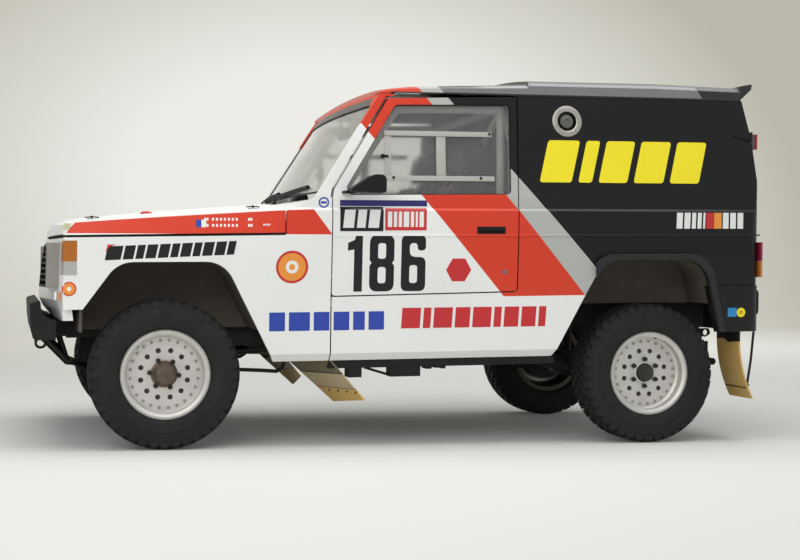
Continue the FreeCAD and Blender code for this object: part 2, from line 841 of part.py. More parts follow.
def make_front_panel():
    """Front panel with its rolled valance, and the grille with the lamp surrounds."""
    slack = size.seat_gap
    surface = ahead_of_nose(0)
    slab = ahead_of_nose(-44).cut(surface).common(
        block(-FAR, 0, -FAR, FAR, size.valance_low, size.bonnet_line_front - size.panel_gap))
    reach = size.body_half_width - WING_SKIN - slack
    waist = reach - size.side_inset
    slab = slab.common(length_prism(
        [(-waist, size.valance_low - 10), (waist, size.valance_low - 10), (waist, size.low_crease),
         (reach, size.mid_crease), (-reach, size.mid_crease), (-waist, size.low_crease)], -FAR, 0))
    low, high = size.lamp_height - 103, size.lamp_height + 101
    half = size.lamp_offset + size.lamp_radius + 14
    panel = slab.cut(block(-FAR, 0, -half, half, low, high))
    for side in (LEFT, RIGHT):
        panel = panel.cut(sided(corner_lamp_block(0), side))
    keep("front_panel", largest(panel))
    middle = size.lamp_offset - size.lamp_radius - 14
    plate = ahead_of_nose(-30).cut(surface)
    grille = plate.common(block(-FAR, 0, -half + slack, half - slack, low + slack, high - slack))
    pieces = [grille]
    for side in (LEFT, RIGHT):
        surround = block(size.nose - 64, 0, -half + slack, -middle, low + slack, high - slack)
        pieces.append(sided(surround.common(ahead_of_nose(-30)), side))
    whole = fuse(pieces)
    for side in (LEFT, RIGHT):
        start = lamp_seat(side) - Vector(400, 0, 0)
        whole = whole.cut(Part.makeCylinder(size.lamp_radius, 800, start, Vector(1, 0, 0)))
    bar_count = 7
    pitch = (high - low - 16) / bar_count
    bays = []
    for index in range(bar_count):
        foot = low + 12 + index * pitch
        bays.append(block(-FAR, 0, -middle + 10, -5, foot, foot + pitch - 9))
        bays.append(block(-FAR, 0, 5, middle - 10, foot, foot + pitch - 9))
    keep("grille", largest(whole.cut(bays)))


def make_lamps():
    """Headlamps, corner lamps, tail lamps and the high rear lamps."""
    slack = size.seat_gap
    lamps = []
    for side in (LEFT, RIGHT):
        lamps.append(Part.makeCylinder(size.lamp_radius - slack, 60, lamp_seat(side), Vector(1, 0, 0)))
    outer = block(-FAR, 0, -size.body_half_width + 4, 0, 0, FAR)
    corner = corner_lamp_block(slack).common(outer).cut(ahead_of_nose(0))
    rear = size.rear_face + slack
    wide = size.body_half_width - 68
    tail = block(rear, rear + 20, -wide, -wide + 80, size.bumper_top + 40, size.mid_crease - 32)
    top = size.gutter_height - 162
    high = block(rear - 70, rear + 16, -wide + 18, -wide + 70, top - 76, top).cut(outer_hull)
    high = max(high.Solids, key=lambda solid: solid.CenterOfMass.x)
    for lamp in (largest(corner), tail, high):
        lamps += [lamp, mirrored(lamp)]
    keep("lamps", Part.makeCompound(lamps))


# Underbody

def make_frame():
    """Two rails kicked up over the axles, and the tubes between them."""
    low, kick, deep = size.rail_low, size.rail_kick, size.rail_height
    horn = kick - 25
    inner = size.rail_inner
    under = [(FRONT_AXLE - 425, horn), (FRONT_AXLE - 240, horn), (FRONT_AXLE - 150, kick),
             (FRONT_AXLE + 175, kick), (FRONT_AXLE + 315, low), (REAR_AXLE - 455, low), (REAR_AXLE - 275, kick),
             (REAR_AXLE + 245, kick), (REAR_AXLE + 365, horn), (REAR_AXLE + 465, horn)]
    over = [(x, z + deep) for x, z in reversed(under)]
    rail = side_prism(under + over, -inner - size.rail_width, -inner)
    reach = inner - size.seat_gap
    last = REAR_AXLE + 425
    pieces = [rail, mirrored(rail)]
    for x, z in ((FRONT_AXLE - 385, kick + 30), (FRONT_AXLE + 475, low + 14), (TRANSFER_REAR + 70, low + 80),
                 (REAR_AXLE - 315, kick + 40), (last, kick + 30)):
        pieces.append(rod(level(x, -reach, z), level(x, reach, z), size.cross_tube))
    lug = side_prism([(last - 20, kick + 15), (last, kick - 55), (last + 120, kick - 83), (last + 150, kick - 65),
                      (last + 138, kick - 37), (last + 85, kick - 37), (last + 20, kick + 45)],
                     50 - inner, 70 - inner, [0, 0, 20, 12, 0, 0, 0])
    hole = Part.makeCylinder(size.tow_hole, 40, level(last + 122, 40 - inner, kick - 59), Vector(0, 1, 0))
    pieces[-1] = fuse([pieces[-1], lug.cut(hole)])
    keep("frame", Part.makeCompound(pieces))


def make_engine():
    """Engine as one plain block between the rails."""
    keep_box("engine_block", ("sizes.front_axle - 215", "150 - sizes.rail_inner", "sizes.rail_kick"),
             ("sizes.front_axle + 375", "sizes.rail_inner - 150", "sizes.rail_kick + 400"))


def make_driveline():
    """Gearbox, transfer case and the two prop shafts."""
    hub = size.tyre_radius
    start = FRONT_AXLE + 375 + size.seat_gap
    gearbox = block(start, -150, -140, 140, size.rail_low + 52, size.rail_low + 170)
    transfer = block(-160, TRANSFER_REAR, -150, 230, size.rail_low - 40, size.rail_low + 150)
    front = rod(Vector(-155, 195, size.rail_low - 10), Vector(FRONT_AXLE + 113.5, 195, hub + 12), 24)
    rear = rod(Vector(160, 0, size.rail_low), Vector(REAR_AXLE - 132.5, 0, hub + 12), 30)
    flange = rod(Vector(150, 0, size.rail_low + 1), Vector(196, 0, size.rail_low - 5), 50)
    keep("driveline", fuse([gearbox, transfer, front, rear, flange]))


def make_front_axle():
    """Front differential with its hanger, mount beam, drive shafts and wishbones."""
    hub = size.tyre_radius
    slack = size.seat_gap
    case = turned([(-110, 0), (-110, 48), (-70, 80), (-20, 92), (130, 92), (200, 70), (220, 48), (220, 0)],
                  Vector(FRONT_AXLE, 0, hub + 5), Vector(0, 1, 0), Vector(0, 0, 1))
    pinion = Part.makeCylinder(45, 110, Vector(FRONT_AXLE, 195, hub + 5), Vector(1, 0, 0))
    beam_low = size.rail_kick - 60
    beam = block(FRONT_AXLE - 60, FRONT_AXLE + 60, -size.rail_inner - 10, size.rail_inner + 10, beam_low,
                 size.rail_kick - slack)
    clear = block(FRONT_AXLE - 60 - slack, FRONT_AXLE + 60 + slack, -FAR, FAR, beam_low - slack, FAR)
    hanger = Part.makeBox(90, 120, 120, Vector(FRONT_AXLE - 45, -20, hub + 60)).cut(clear)
    pieces = [fuse([case, pinion, hanger]), beam]
    pivot = size.kingpin_offset
    for side, start in ((LEFT, 110), (RIGHT, 220)):
        near, far = side * (start + slack), side * (pivot - 55)
        shaft = rod(Vector(FRONT_AXLE, near, hub), Vector(FRONT_AXLE, far, hub), 15)
        boot = turned([(0, 0), (0, 30), (-18, 34), (-70, 20), (-74, 0)], Vector(FRONT_AXLE, far, hub),
                      Vector(0, side, 0), Vector(0, 0, 1))
        pieces.append(fuse([shaft, boot]))
    top = hub + size.knuckle_height / 2 + slack
    bottom = hub - size.knuckle_height / 2 - slack
    rail_under = block(-FAR, FAR, -FAR, FAR, size.rail_kick - slack, FAR)
    for side in (LEFT, RIGHT):
        pin = side * pivot
        for z_from, z_to, root, spread in ((bottom - 16, bottom, size.rail_inner - 30, 140),
                                           (top, top + 14, size.rail_inner - 15, 90)):
            arm = plan_prism([
                (FRONT_AXLE - spread, side * root), (FRONT_AXLE - spread + 50, side * root),
                (FRONT_AXLE - 4, pin - side * 60), (FRONT_AXLE + 4, pin - side * 60),
                (FRONT_AXLE + spread - 50, side * root), (FRONT_AXLE + spread, side * root),
                (FRONT_AXLE + 26, pin), (FRONT_AXLE - 26, pin)], z_from, z_to)
            parts = [arm, Part.makeCylinder(26, z_to - z_from, Vector(FRONT_AXLE, pin, z_from))]
            parts.append(Part.makeBox(2 * spread, 34, z_to - z_from,
                                      Vector(FRONT_AXLE - spread, side * (root + 17) - 17, z_from)))
            if z_from < hub:
                for x in (FRONT_AXLE - spread, FRONT_AXLE + spread - 40):
                    post = Part.makeBox(40, 34, size.rail_kick - z_from, Vector(x, side * (root + 60) - 17, z_from))
                    foot = Part.makeBox(40, 94, z_to - z_from, Vector(x, side * (root + 45) - 47, z_from))
                    parts.append(post.cut(rail_under).fuse(foot))
            pieces.append(fuse(parts).cut(clear))
    keep("front_axle", Part.makeCompound(pieces))


def make_rear_axle():
    """Live rear axle: tube, banjo case, brake plates and spring seats."""
    hub = size.tyre_radius
    end = HUB_INNER - size.seat_gap
    centre = Vector(REAR_AXLE, 0, hub)
    tube = rod(Vector(REAR_AXLE, -end, hub), Vector(REAR_AXLE, end, hub), 38)
    banjo = turned([(-62, 0), (-62, 92), (-40, 114), (38, 114), (80, 84), (88, 0)], centre,
                   Vector(1, 0, 0), Vector(0, 0, 1))
    nose = turned([(-128, 0), (-128, 40), (-118, 52), (-50, 64), (-50, 0)], centre + Vector(0, 0, 11),
                  Vector(1, 0, 0), Vector(0, 0, 1))
    pieces = [tube, banjo, nose]
    spring_y = size.rail_inner + size.rail_width + 80
    for side in (LEFT, RIGHT):
        pieces.append(rod(Vector(REAR_AXLE, side * (end - 20), hub), Vector(REAR_AXLE, side * (end - 6), hub), 128))
        pieces.append(Part.makeBox(50, 60, 30, Vector(REAR_AXLE - 25, side * spring_y - 30, hub - 44)))
    keep("rear_axle", fuse(pieces))


def leaf(front_reach, rear_reach, sag, top, thick):
    """One leaf of the left spring, bent between its ends over the axle."""
    lift = 122 * sag
    longest = max(front_reach, rear_reach)
    y = -size.rail_inner - size.rail_width - 110
    return arc_strip(
        Vector(REAR_AXLE - front_reach, y, top + lift * (front_reach / longest) ** 2), Vector(REAR_AXLE, y, top),
        Vector(REAR_AXLE + rear_reach, y, top + lift * (rear_reach / longest) ** 2),
        Vector(0, 0, -thick), y, y + 60)


def make_springs():
    """Rear leaf springs below the axle, with their hangers, and the dampers."""
    top = size.tyre_radius - 44 - 2 * size.seat_gap
    near = -size.rail_inner - size.rail_width
    pack = [leaf(560, 470, 1.0, top, 12), leaf(400, 360, 0.5, top - 11, 11), leaf(250, 230, 0.2, top - 21, 11)]
    for x, z in ((REAR_AXLE - 560, top + 122), (REAR_AXLE + 470, top + 86)):
        pack.append(Part.makeCylinder(18, 60, Vector(x, near - 110, z), Vector(0, 1, 0)))
        pack.append(Part.makeCylinder(9, 60, Vector(x, near - 60, z), Vector(0, 1, 0)))
        pack.append(Part.makeBox(40, 12, 120, Vector(x - 20, near - 12 - size.seat_gap, z - 20)))
    damper_x = REAR_AXLE + 70
    damper_y = near - 35
    hub = size.tyre_radius
    body = rod(Vector(damper_x, damper_y, hub + 40), Vector(damper_x, damper_y, size.rail_kick + 55), 20)
    reach = (38 + size.seat_gap) * math.sqrt(0.5)
    foot = rod(Vector(REAR_AXLE + reach, damper_y, hub + reach), Vector(damper_x, damper_y, hub + 70), 12)
    spring = fuse(pack)
    damper = fuse([body, foot])
    keep("rear_springs", Part.makeCompound([spring, mirrored(spring), damper, mirrored(damper)]))


def pipe_run(points, radius):
    """Round pipe through points, with a ball in each elbow."""
    runs = [rod(start, end, radius) for start, end in zip(points, points[1:])]
    return runs + [Part.makeSphere(radius, elbow) for elbow in points[1:-1]]


def make_exhaust():
    """Exhaust pipe with its silencer, out below the right sill."""
    pipe_radius = 24
    start = FRONT_AXLE + 315
    low = size.sill_low - 21
    outlet = size.door_rear - 62
    manifold = size.rail_kick + 15
    edge = size.rail_inner - 150 + size.seat_gap
    lane = size.rail_inner - 60
    front = start + 0.57 * (outlet - start)
    rear = start + 0.9 * (outlet - start)
    pieces = pipe_run([Vector(start, edge, manifold), Vector(start, edge + 36, manifold),
                       Vector(start + 80, lane, low + 6), Vector(front + 5, lane, low)], pipe_radius)
    pieces.append(rod(Vector(front, lane, low), Vector(rear, lane, low), 54))
    pieces += pipe_run([Vector(rear - 5, lane, low), Vector(outlet - 40, 560, low - 4),
                        Vector(outlet, size.side_half_width - 26, low - 14)], pipe_radius)
    keep("exhaust", fuse(pieces))


def make_floor():
    """Floor pan, cut out round the tubs over the rear wheels."""
    half = size.side_half_width - size.wall - size.seat_gap
    pan = block(size.bulkhead + 20 + size.seat_gap, size.rear_face - size.wall - 20, -half, half,
                size.floor_low, size.floor_top)
    tub = side_prism(rear_arch_outline(14 + size.seat_gap), -FAR, -TUB_INNER + size.seat_gap, ARCH_RADII)
    keep("floor_pan", largest(pan.cut(tub).cut(mirrored(tub))))


def make_tank():
    """Long-range fuel tank that stands on the load floor."""
    base = "sizes.floor_top + sizes.rake * (sizes.rear_axle + 225) + 1"
    keep_box("fuel_tank", ("sizes.rear_axle - 275", "-400", base),
             ("sizes.rear_axle + 225", "400", "sizes.floor_low + 365"))


# Outside fittings

def make_rear_bumper():
    """Wrap-round lower rear panel with the bumper face."""
    low, high = size.bumper_low, size.bumper_top - size.seat_gap
    rear = size.rear_face + 8
    half = size.body_half_width
    front = size.rear_arch_rear_low - 60
    outer = plan_prism([(front, -half), (rear, -half), (rear, half), (front, half)], 0, FAR, [0, 66, 66, 0])
    inner = plan_prism([(front - 5, -half + 44), (rear - 60, -half + 44), (rear - 60, half - 44),
                        (front - 5, half - 44)], -5, FAR + 5, [0, 40, 40, 0])
    ring = outer.cut(inner).common(block(0, FAR, -FAR, FAR, low, high))
    ring = ring.cut(block(0, FAR, -size.tail_half_width, size.tail_half_width, high - 26, FAR))
    keep("rear_bumper", ring.cut(side_prism(rear_arch_outline(0), -FAR, FAR, ARCH_RADII)))


def make_flares():
    """Rear arch flares that stand proud of the body side."""
    outline = rear_arch_outline(size.flare_width * 0.7)
    body = -size.body_half_width - size.seat_gap
    lip = side_prism(outline, body - size.flare_reach, body, ARCH_RADII)
    lip = lip.cut(side_prism(rear_arch_outline(0), -FAR, 0, ARCH_RADII))
    lip = lip.common(block(REAR_AXLE - 295, FAR, -FAR, 0, size.bumper_low, FAR))
    keep("arch_flares", both(largest(lip)))


def flap_edge(x, y, z, thick):
    """Closed edge of a flap between two points, its thickness along the car."""
    corners = [level(x[0], y[0], z[0]), level(x[0] + thick, y[0], z[0]),
               level(x[1] + thick, y[1], z[1]), level(x[1], y[1], z[1])]
    return Part.makePolygon(corners + corners[:1])


def make_mud_flaps():
    """Raked mud flaps behind the front wheels and bent ones behind the rear wheels."""
    thick = 8
    top = size.sill_low - size.seat_gap
    outer, inner = -size.sill_half_width + 2, -size.sill_half_width + 248
    front = Part.makeLoft([
        flap_edge((size.door_front + 2, size.door_front - 160), (outer, inner), (top, top), thick),
        flap_edge((size.door_front + 165, size.door_front + 74), (outer - 12, inner), (222, 198), thick),
    ], True, True)
    start = size.rear_arch_rear_low + 117
    high = size.bumper_low - size.seat_gap
    rear = arc_strip(level(start, 0, high), level(start + 19, 0, 330), level(start + 76, 0, 178),
                     Vector(thick, 0, size.rake * thick), -size.body_half_width + 6, -size.body_half_width + 246)
    keep("mud_flaps", Part.makeCompound([front, mirrored(front), rear, mirrored(rear)]))


def make_bull_bar():
    """Front bumper beam with its braces, the sloping skid plate and its side tubes."""
    low = size.rail_kick - 19
    nose = size.nose
    half = size.body_half_width - 78
    beam = side_prism([(nose - 133, low + 80), (nose - 125, low + 24), (nose - 101, low), (nose - 20, low),
                       (nose - 20, low + 84), (nose - 44, low + 88), (nose - 69, low + 107), (nose - 86, low + 136),
                       (nose - 90, low + 177), (nose - 137, low + 164)], -half, half,
                      [10, 10, 6, 0, 6, 8, 12, 8, 8, 14])
    foot_x, foot_z = nose + 40, low - 136
    tail_x, tail_z = FRONT_AXLE - 65, size.tyre_radius - 90
    skid = side_prism([(nose - 100, low + 2), (nose - 86, low + 2), (foot_x + 4, foot_z + 9),
                       (foot_x + 34, foot_z + 4), (tail_x, tail_z + 10), (tail_x, tail_z),
                       (foot_x + 32, foot_z - 7), (foot_x - 2, foot_z - 3)], -300, 300)
    pieces = [beam, skid]
    for side in (LEFT, RIGHT):
        tube_y = side * 312
        elbow = level(foot_x + 6, tube_y, foot_z + 24)
        pieces.append(rod(level(nose - 74, tube_y, low + 12), elbow, 13))
        pieces.append(rod(level(nose + 6, tube_y, low + 12), elbow, 10))
        pieces.append(rod(level(nose - 40, tube_y, low + 12), level(nose + 6, tube_y, low + 12), 10))
        pieces.append(Part.makeSphere(13, elbow))
        y = side * (size.rail_inner + size.rail_width / 2)
        pieces.append(block(nose - 30, FRONT_AXLE - 425 - size.seat_gap, y - 36, y + 36, low + 2, low + 84))
        lug = side_prism([(nose - 108, low - 56), (nose - 52, low - 56), (nose - 52, low + 8), (nose - 92, low + 8),
                          (nose - 108, low + 4)], y - 10, y + 10, [26, 26, 0, 0, 0])
        hole = Part.makeCylinder(size.tow_hole, 40, level(nose - 80, y - 20, low - 29), Vector(0, 1, 0))
        pieces.append(lug.cut(hole))
    keep("bull_bar", fuse(pieces))


# Cabin

def make_cage():
    """Roll cage: main hoop with its diagonal, front hoops, door bars and rear stays."""
    tube = size.cage_tube
    wide, high = size.gutter_half_width - 87, size.gutter_height - 62
    floor = size.floor_top + size.seat_gap + 10
    waist = size.side_half_width - 94
    hoop = size.hoop
    knee_x = size.door_front + 38
    pieces = []
    for side in (LEFT, RIGHT):
        foot = level(hoop, side * waist, floor)
        shoulder = level(hoop, side * wide, high)
        front_top = level(size.pillar_head + 60, side * wide, high - 6)
        front_knee = level(knee_x, side * waist, size.belt_height - 22)
        front_foot = level(knee_x - 20, side * (waist + 6), floor)
        rear_foot = level(REAR_AXLE - 315, side * 500, floor)
        door_rear = level(hoop, side * waist, size.mid_crease - 40)
        door_front = level(knee_x - 12, side * (waist + 3), size.low_crease + 200)
        for base in (foot, front_foot, rear_foot):
            pieces.append(Part.makeCylinder(34, 16, base - Vector(0, 0, 9.3)))
        pieces += [rod(foot, shoulder, tube), rod(shoulder, front_top, tube),
                   rod(front_top, front_knee, tube), rod(front_knee, front_foot, tube),
                   rod(shoulder, rear_foot, tube), rod(door_rear, door_front, tube * 0.8),
                   Part.makeSphere(tube, shoulder), Part.makeSphere(tube, front_top),
                   Part.makeSphere(tube, front_knee)]
    pieces.append(rod(level(hoop, -wide, high), level(hoop, wide, high), tube))
    pieces.append(rod(level(hoop, -wide, high), level(hoop, waist, floor + 60), tube * 0.8))
    pieces.append(rod(level(size.pillar_head + 60, -wide, high - 6), level(size.pillar_head + 60, wide, high - 6), tube))
    keep("roll_cage", fuse(pieces))


def make_seats():
    """Two bucket seats with side wings, on runners."""
    floor = size.floor_top + size.seat_gap
    half = size.seat_width / 2
    back = size.hoop - 30
    top = size.gutter_height - 192
    front = size.door_front + 288
    cushion_top = size.mid_crease - 90
    middle = -size.seat_offset
    share = (back - front) / 530

    def drawn(points, y_from, y_to, radii):
        corners = [(back - share * behind, z) for behind, z in points]
        return side_prism(corners, y_from, y_to, [min(share, 1) * radius for radius in radii])

    core = [(530, cushion_top - 130), (130, cushion_top - 150), (80, cushion_top - 90), (5, top - 20), (75, top),
            (190, cushion_top + 10), (550, cushion_top - 30)]
    wing = [(520, cushion_top - 135), (130, cushion_top - 150), (75, cushion_top - 90), (22, top - 170),
            (150, top - 190), (225, cushion_top + 110), (510, cushion_top + 24)]
    pieces = [drawn(core, middle - half + 60, middle + half - 60, [20, 30, 60, 40, 30, 60, 40])]
    for y in (middle - half, middle + half - 62):
        pieces.append(drawn(wing, y, y + 62, [20, 30, 60, 40, 60, 80, 40]))
    for y in (middle - half + 40, middle + half - 80):
        pieces.append(block(back - 490 * share, back - 150 * share, y, y + 40, floor, cushion_top - 100))
    keep("seats", both(fuse(pieces)))


STEER_AXIS = Vector(0.91, 0, 0.415).normalize()
WHEEL_CENTRE = level(size.door_front + 178, -size.seat_offset, size.mid_crease + 82)


def make_dashboard():
    """Dashboard across the cabin, with its cowl, centre console and the steering column."""
    half = size.side_half_width - size.wall - 80
    face = size.dash_face
    foot = size.mid_crease - 140
    rear = face - 109
    top = size.mid_crease + 95
    body = side_prism([(rear, foot), (face, foot), (face + 30, foot + 150), (face, top), (rear, top + 5)],
                      -half, half, [0, 30, 40, 30, 0])
    cowl = side_prism([(rear + 10, top - 10), (face - 8, top - 10), (face + 12, top + 34), (rear + 20, top + 42)],
                      -size.seat_offset - 150, -size.seat_offset + 150, [0, 0, 14, 20])
    console = block(rear, face - 10, -110, 110, size.low_crease + 60, foot + 10)
    link = block(size.bulkhead + 20 + size.seat_gap, rear + 9, -half, half, foot + 110, foot + 150)
    column = rod(WHEEL_CENTRE - STEER_AXIS * 170, WHEEL_CENTRE - STEER_AXIS * 17, 22)
    keep("dashboard", fuse([body, cowl, console, link, column]))


def make_steering_wheel():
    """Three-spoke steering wheel on the column's axis."""
    radius, tube = size.wheel_rim_radius, size.wheel_rim_tube
    sides = 10
    ring = [(tube * math.sin(2 * math.pi * step / sides), radius + tube * math.cos(2 * math.pi * step / sides))
            for step in range(sides)]
    rim = turned(ring, Vector(0, 0, 0), Vector(0, 0, 1), Vector(1, 0, 0))
    pieces = [rim, Part.makeCylinder(40, 26, Vector(0, 0, -16))]
    for turn in (90, 210, 330):
        spoke = Part.makeBox(radius, 30, 6, Vector(0, -15, -3))
        spoke = spoke.cut(Part.makeCylinder(8, 10, Vector(radius * 0.55, 0, -5)))
        spoke.rotate(Vector(0, 0, 0), Vector(0, 0, 1), turn)
        pieces.append(spoke)
    keep("steering_wheel", fuse(pieces), Placement(WHEEL_CENTRE, Rotation(Vector(0, 0, 1), STEER_AXIS)))


# Wheels

def revolved_body(label, points):
    """Body turned about the axle from an outline of (offset along the axle, radius) pairs."""
    body = document.addObject("PartDesign::Body", label)
    body.Label = label
    plane = [feature for feature in body.Origin.OriginFeatures if feature.Role == "XY_Plane"][0]
    sketch = body.newObject("Sketcher::SketchObject", label + "_outline")
    sketch.AttachmentSupport = [(plane, "")]
    sketch.MapMode = "FlatFace"
    for (along, radius), (next_along, next_radius) in zip(points, points[1:] + points[:1]):
        sketch.addGeometry(Part.LineSegment(Vector(radius, along, 0), Vector(next_radius, next_along, 0)), False)
    turn = body.newObject("PartDesign::Revolution", label + "_turned")
    turn.Profile = sketch
    turn.ReferenceAxis = (sketch, ["V_Axis"])
    turn.Angle = 360
    body.Tip = turn
    return body, sketch


def drill_disc(body, sketch, side):
    """Ring of round holes through a rim's disc, bound to the sheet."""
    label = body.Label
    drill = body.newObject("PartDesign::SubtractiveCylinder", label + "_hole")
    drill.setExpression("Radius", "sizes.rim_hole_radius")
    drill.setExpression("Height", "sizes.disc_thickness + 20")
    drill.Placement.Rotation = Rotation(Vector(1, 0, 0), -90)
    drill.setExpression("Placement.Base.x", "sizes.rim_hole_circle * cos(180 / sizes.rim_hole_count)")
    drill.setExpression("Placement.Base.z", "sizes.rim_hole_circle * sin(180 / sizes.rim_hole_count)")
    middle = "%d * (sizes.rim_width / 2 - sizes.dish_depth - sizes.disc_thickness / 2)" % side
    drill.setExpression("Placement.Base.y", "%s - sizes.disc_thickness / 2 - 10" % middle)
    holes = body.newObject("PartDesign::PolarPattern", label + "_holes")
    holes.Originals = [drill]
    holes.Axis = (sketch, ["V_Axis"])
    holes.Angle = 360
    holes.setExpression("Occurrences", "sizes.rim_hole_count")
    body.Tip = holes


def set_at_wheel(body, axle_sign, side):
    """Bind a wheel body's place to the wheelbase, track and tyre radius."""
    body.setExpression("Placement.Base.x", "%d * sizes.wheelbase / 2" % axle_sign)
    body.setExpression("Placement.Base.y", "%d * sizes.track / 2" % side)
    body.setExpression("Placement.Base.z", "sizes.tyre_radius")
    kept.append(body)


def rim_outline(reach):
    """Half section of a deep-dished rim with its hub and brake disc, the outside towards +."""
    half = size.rim_width / 2
    bead, flange = size.bead_radius, size.rim_radius
    barrel = bead - size.rim_wall
    face = half - size.dish_depth
    back = face - size.disc_thickness
    inboard = HUB_INNER - size.track / 2
    brake = inboard + size.brake_thickness
    cap = size.hub_cap_radius
    return [
        (half, bead + 4), (half, flange), (half - 10, flange), (half - 14, bead),
        (-half + 14, bead), (-half + 10, flange), (-half, flange), (-half, barrel),
        (back - 22, barrel), (back, barrel - 24), (back, size.hub_radius), (brake, size.hub_radius),
        (brake, size.brake_radius), (inboard, size.brake_radius), (inboard, 0),
        (face + reach, 0), (face + reach, cap - 8), (face + reach - 8, cap),
        (face + 8, cap + 2), (face + 4, size.hub_radius - 2), (face, size.hub_radius),
        (face, barrel - 10), (face + 8, barrel), (half - 8, barrel),
    ]


def make_wheels():
    """Four deep-dished rims with hubs and brake discs, and four tyres."""
    half_tyre, half_tread, half_rim = size.tyre_width / 2, size.tread_width / 2, size.rim_width / 2
    bead, flange, outer = size.bead_radius, size.rim_radius, size.tyre_radius
    tyre_half = [
        (half_rim - 15, bead + size.seat_gap), (half_rim - 11, flange + 1), (half_rim + 6, flange + 12),
        (half_tyre, flange + 62), (half_tyre - 10, outer - 24), (half_tread, outer),
    ]
    tyre = tyre_half + [(-along, radius) for along, radius in reversed(tyre_half)]
    for axle_name, axle_sign, reach in (("front", -1, size.front_hub_reach), ("rear", 1, size.rear_hub_reach)):
        for name, side in SIDES:
            outline = [(along * side, radius) for along, radius in rim_outline(reach)]
            rim, sketch = revolved_body("rim_%s_%s" % (axle_name, name), outline)
            drill_disc(rim, sketch, side)
            set_at_wheel(rim, axle_sign, side)
            tyre_body, _ = revolved_body("tyre_%s_%s" % (axle_name, name), tyre)
            set_at_wheel(tyre_body, axle_sign, side)


def make_knuckles():
    """Steering knuckles on their kingpins."""
    hub = size.tyre_radius
    half = size.knuckle_half_depth
    tall = size.knuckle_height / 2
    pin = size.kingpin_offset
    body = Part.makeBox(2 * half, size.knuckle_width, 2 * tall,
                        Vector(FRONT_AXLE - half, -pin - size.knuckle_width / 2, hub - tall))
    spindle = HUB_INNER - size.seat_gap - pin - 24
    boss = Part.makeCylinder(44, spindle, Vector(FRONT_AXLE, -pin - 24, hub), Vector(0, -1, 0))
    bore = Part.makeCylinder(26, 60, Vector(FRONT_AXLE, -pin + 40, hub), Vector(0, -1, 0))
    arm = Part.makeBox(90, 24, 22, Vector(FRONT_AXLE + half - 4, -pin - 4, hub - 60))
    knuckle = fuse([body, boss, arm]).cut(bore)
    for name, side in SIDES:
        keep("knuckle_" + name, sided(knuckle, side))


for make in (make_body_sides, make_doors, make_tailgate, make_roof, make_screen, make_bonnet, make_scuttle,
             make_wings, make_liners, make_front_panel, make_lamps, make_frame, make_engine, make_driveline,
             make_front_axle, make_rear_axle, make_springs, make_exhaust, make_floor, make_tank,
             make_rear_bumper, make_flares, make_mud_flaps, make_bull_bar, make_door_fittings, make_cage,
             make_seats, make_dashboard, make_steering_wheel, make_wheels, make_knuckles):
    make()

document.recompute()
for item in document.Objects:
    if "Invalid" in item.State or "Error" in item.State:
        raise RuntimeError("%s did not recompute: %s" % (item.Label, item.State))
for item in kept:
    if item.Shape.isNull() or not item.Shape.isValid():
        raise RuntimeError("%s has no valid shape" % item.Label)

os.makedirs("parts", exist_ok=True)
for item in kept:
    item.Shape.exportStep("parts/%s.step" % item.Label)
    box = item.Shape.BoundBox
    print("%-22s solids %d  x %.0f..%.0f  y %.0f..%.0f  z %.0f..%.0f" % (
        item.Label, len(item.Shape.Solids), box.XMin, box.XMax, box.YMin, box.YMax, box.ZMin, box.ZMax))
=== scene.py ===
"""Paint, glass, trim, cloth and studio light of an off-road rally car, built around its CAD frame.

The front points to -X, the left side to -Y and up is +Z, in metres. Body heights are written in the
level body frame, as millimetres above the ground, and are set down with the car's slight rake.
"""
import logging
import math
from dataclasses import dataclass
from enum import Enum
from itertools import product
from typing import Callable, Iterable, Optional, Sequence

import bmesh
import bpy
from mathutils import Matrix, Vector
from mathutils.bvhtree import BVHTree
from mathutils.geometry import tessellate_polygon


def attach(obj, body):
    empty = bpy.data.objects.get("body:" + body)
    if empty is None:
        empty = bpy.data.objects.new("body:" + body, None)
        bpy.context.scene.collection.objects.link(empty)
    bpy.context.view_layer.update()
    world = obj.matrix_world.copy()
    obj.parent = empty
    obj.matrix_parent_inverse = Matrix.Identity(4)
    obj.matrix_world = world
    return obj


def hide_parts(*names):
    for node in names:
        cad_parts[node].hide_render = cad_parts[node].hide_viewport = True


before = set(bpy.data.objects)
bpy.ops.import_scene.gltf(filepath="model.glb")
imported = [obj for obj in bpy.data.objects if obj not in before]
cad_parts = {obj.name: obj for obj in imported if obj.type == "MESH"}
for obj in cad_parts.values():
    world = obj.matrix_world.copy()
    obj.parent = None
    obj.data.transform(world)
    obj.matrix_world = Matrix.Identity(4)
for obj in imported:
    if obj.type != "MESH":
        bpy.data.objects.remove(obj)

LOG = logging.getLogger("rally_car")
MM = 0.001
RAKE = 0.02
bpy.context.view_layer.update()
FORE, AFT, ACROSS = Vector((-1, 0, 0)), Vector((1, 0, 0)), Vector((0, 1, 0))
UP, DOWN = Vector((0, 0, 1)), Vector((0, 0, -1))
MERGED_WITHIN = 1e-6

# Half widths of the body by level height, from the sill to the gutter.
BODY_SECTION = ((411.0, 792.0), (445.0, 826.0), (703.0, 826.0), (990.0, 838.0), (1107.0, 838.0), (1119.0, 826.0),
                (1172.0, 826.0), (1662.0, 777.0))

# Where the inner faces of the body change their look, as lengthwise places and level heights in metres.
REAR_END = 1.600
HEADER_FOOT = 1.655
SEALED_BELOW = 0.662
ARCH_FROM, ARCH_HEAD = 0.62, 0.92
BULKHEAD = -0.424
DOOR_REAR = 0.4835

Point2 = tuple[float, float]
Outline = Sequence[Point2]
Colour = tuple[float, float, float, float]
Mesh, Material, Socket = bpy.types.Mesh, bpy.types.Material, bpy.types.NodeSocket


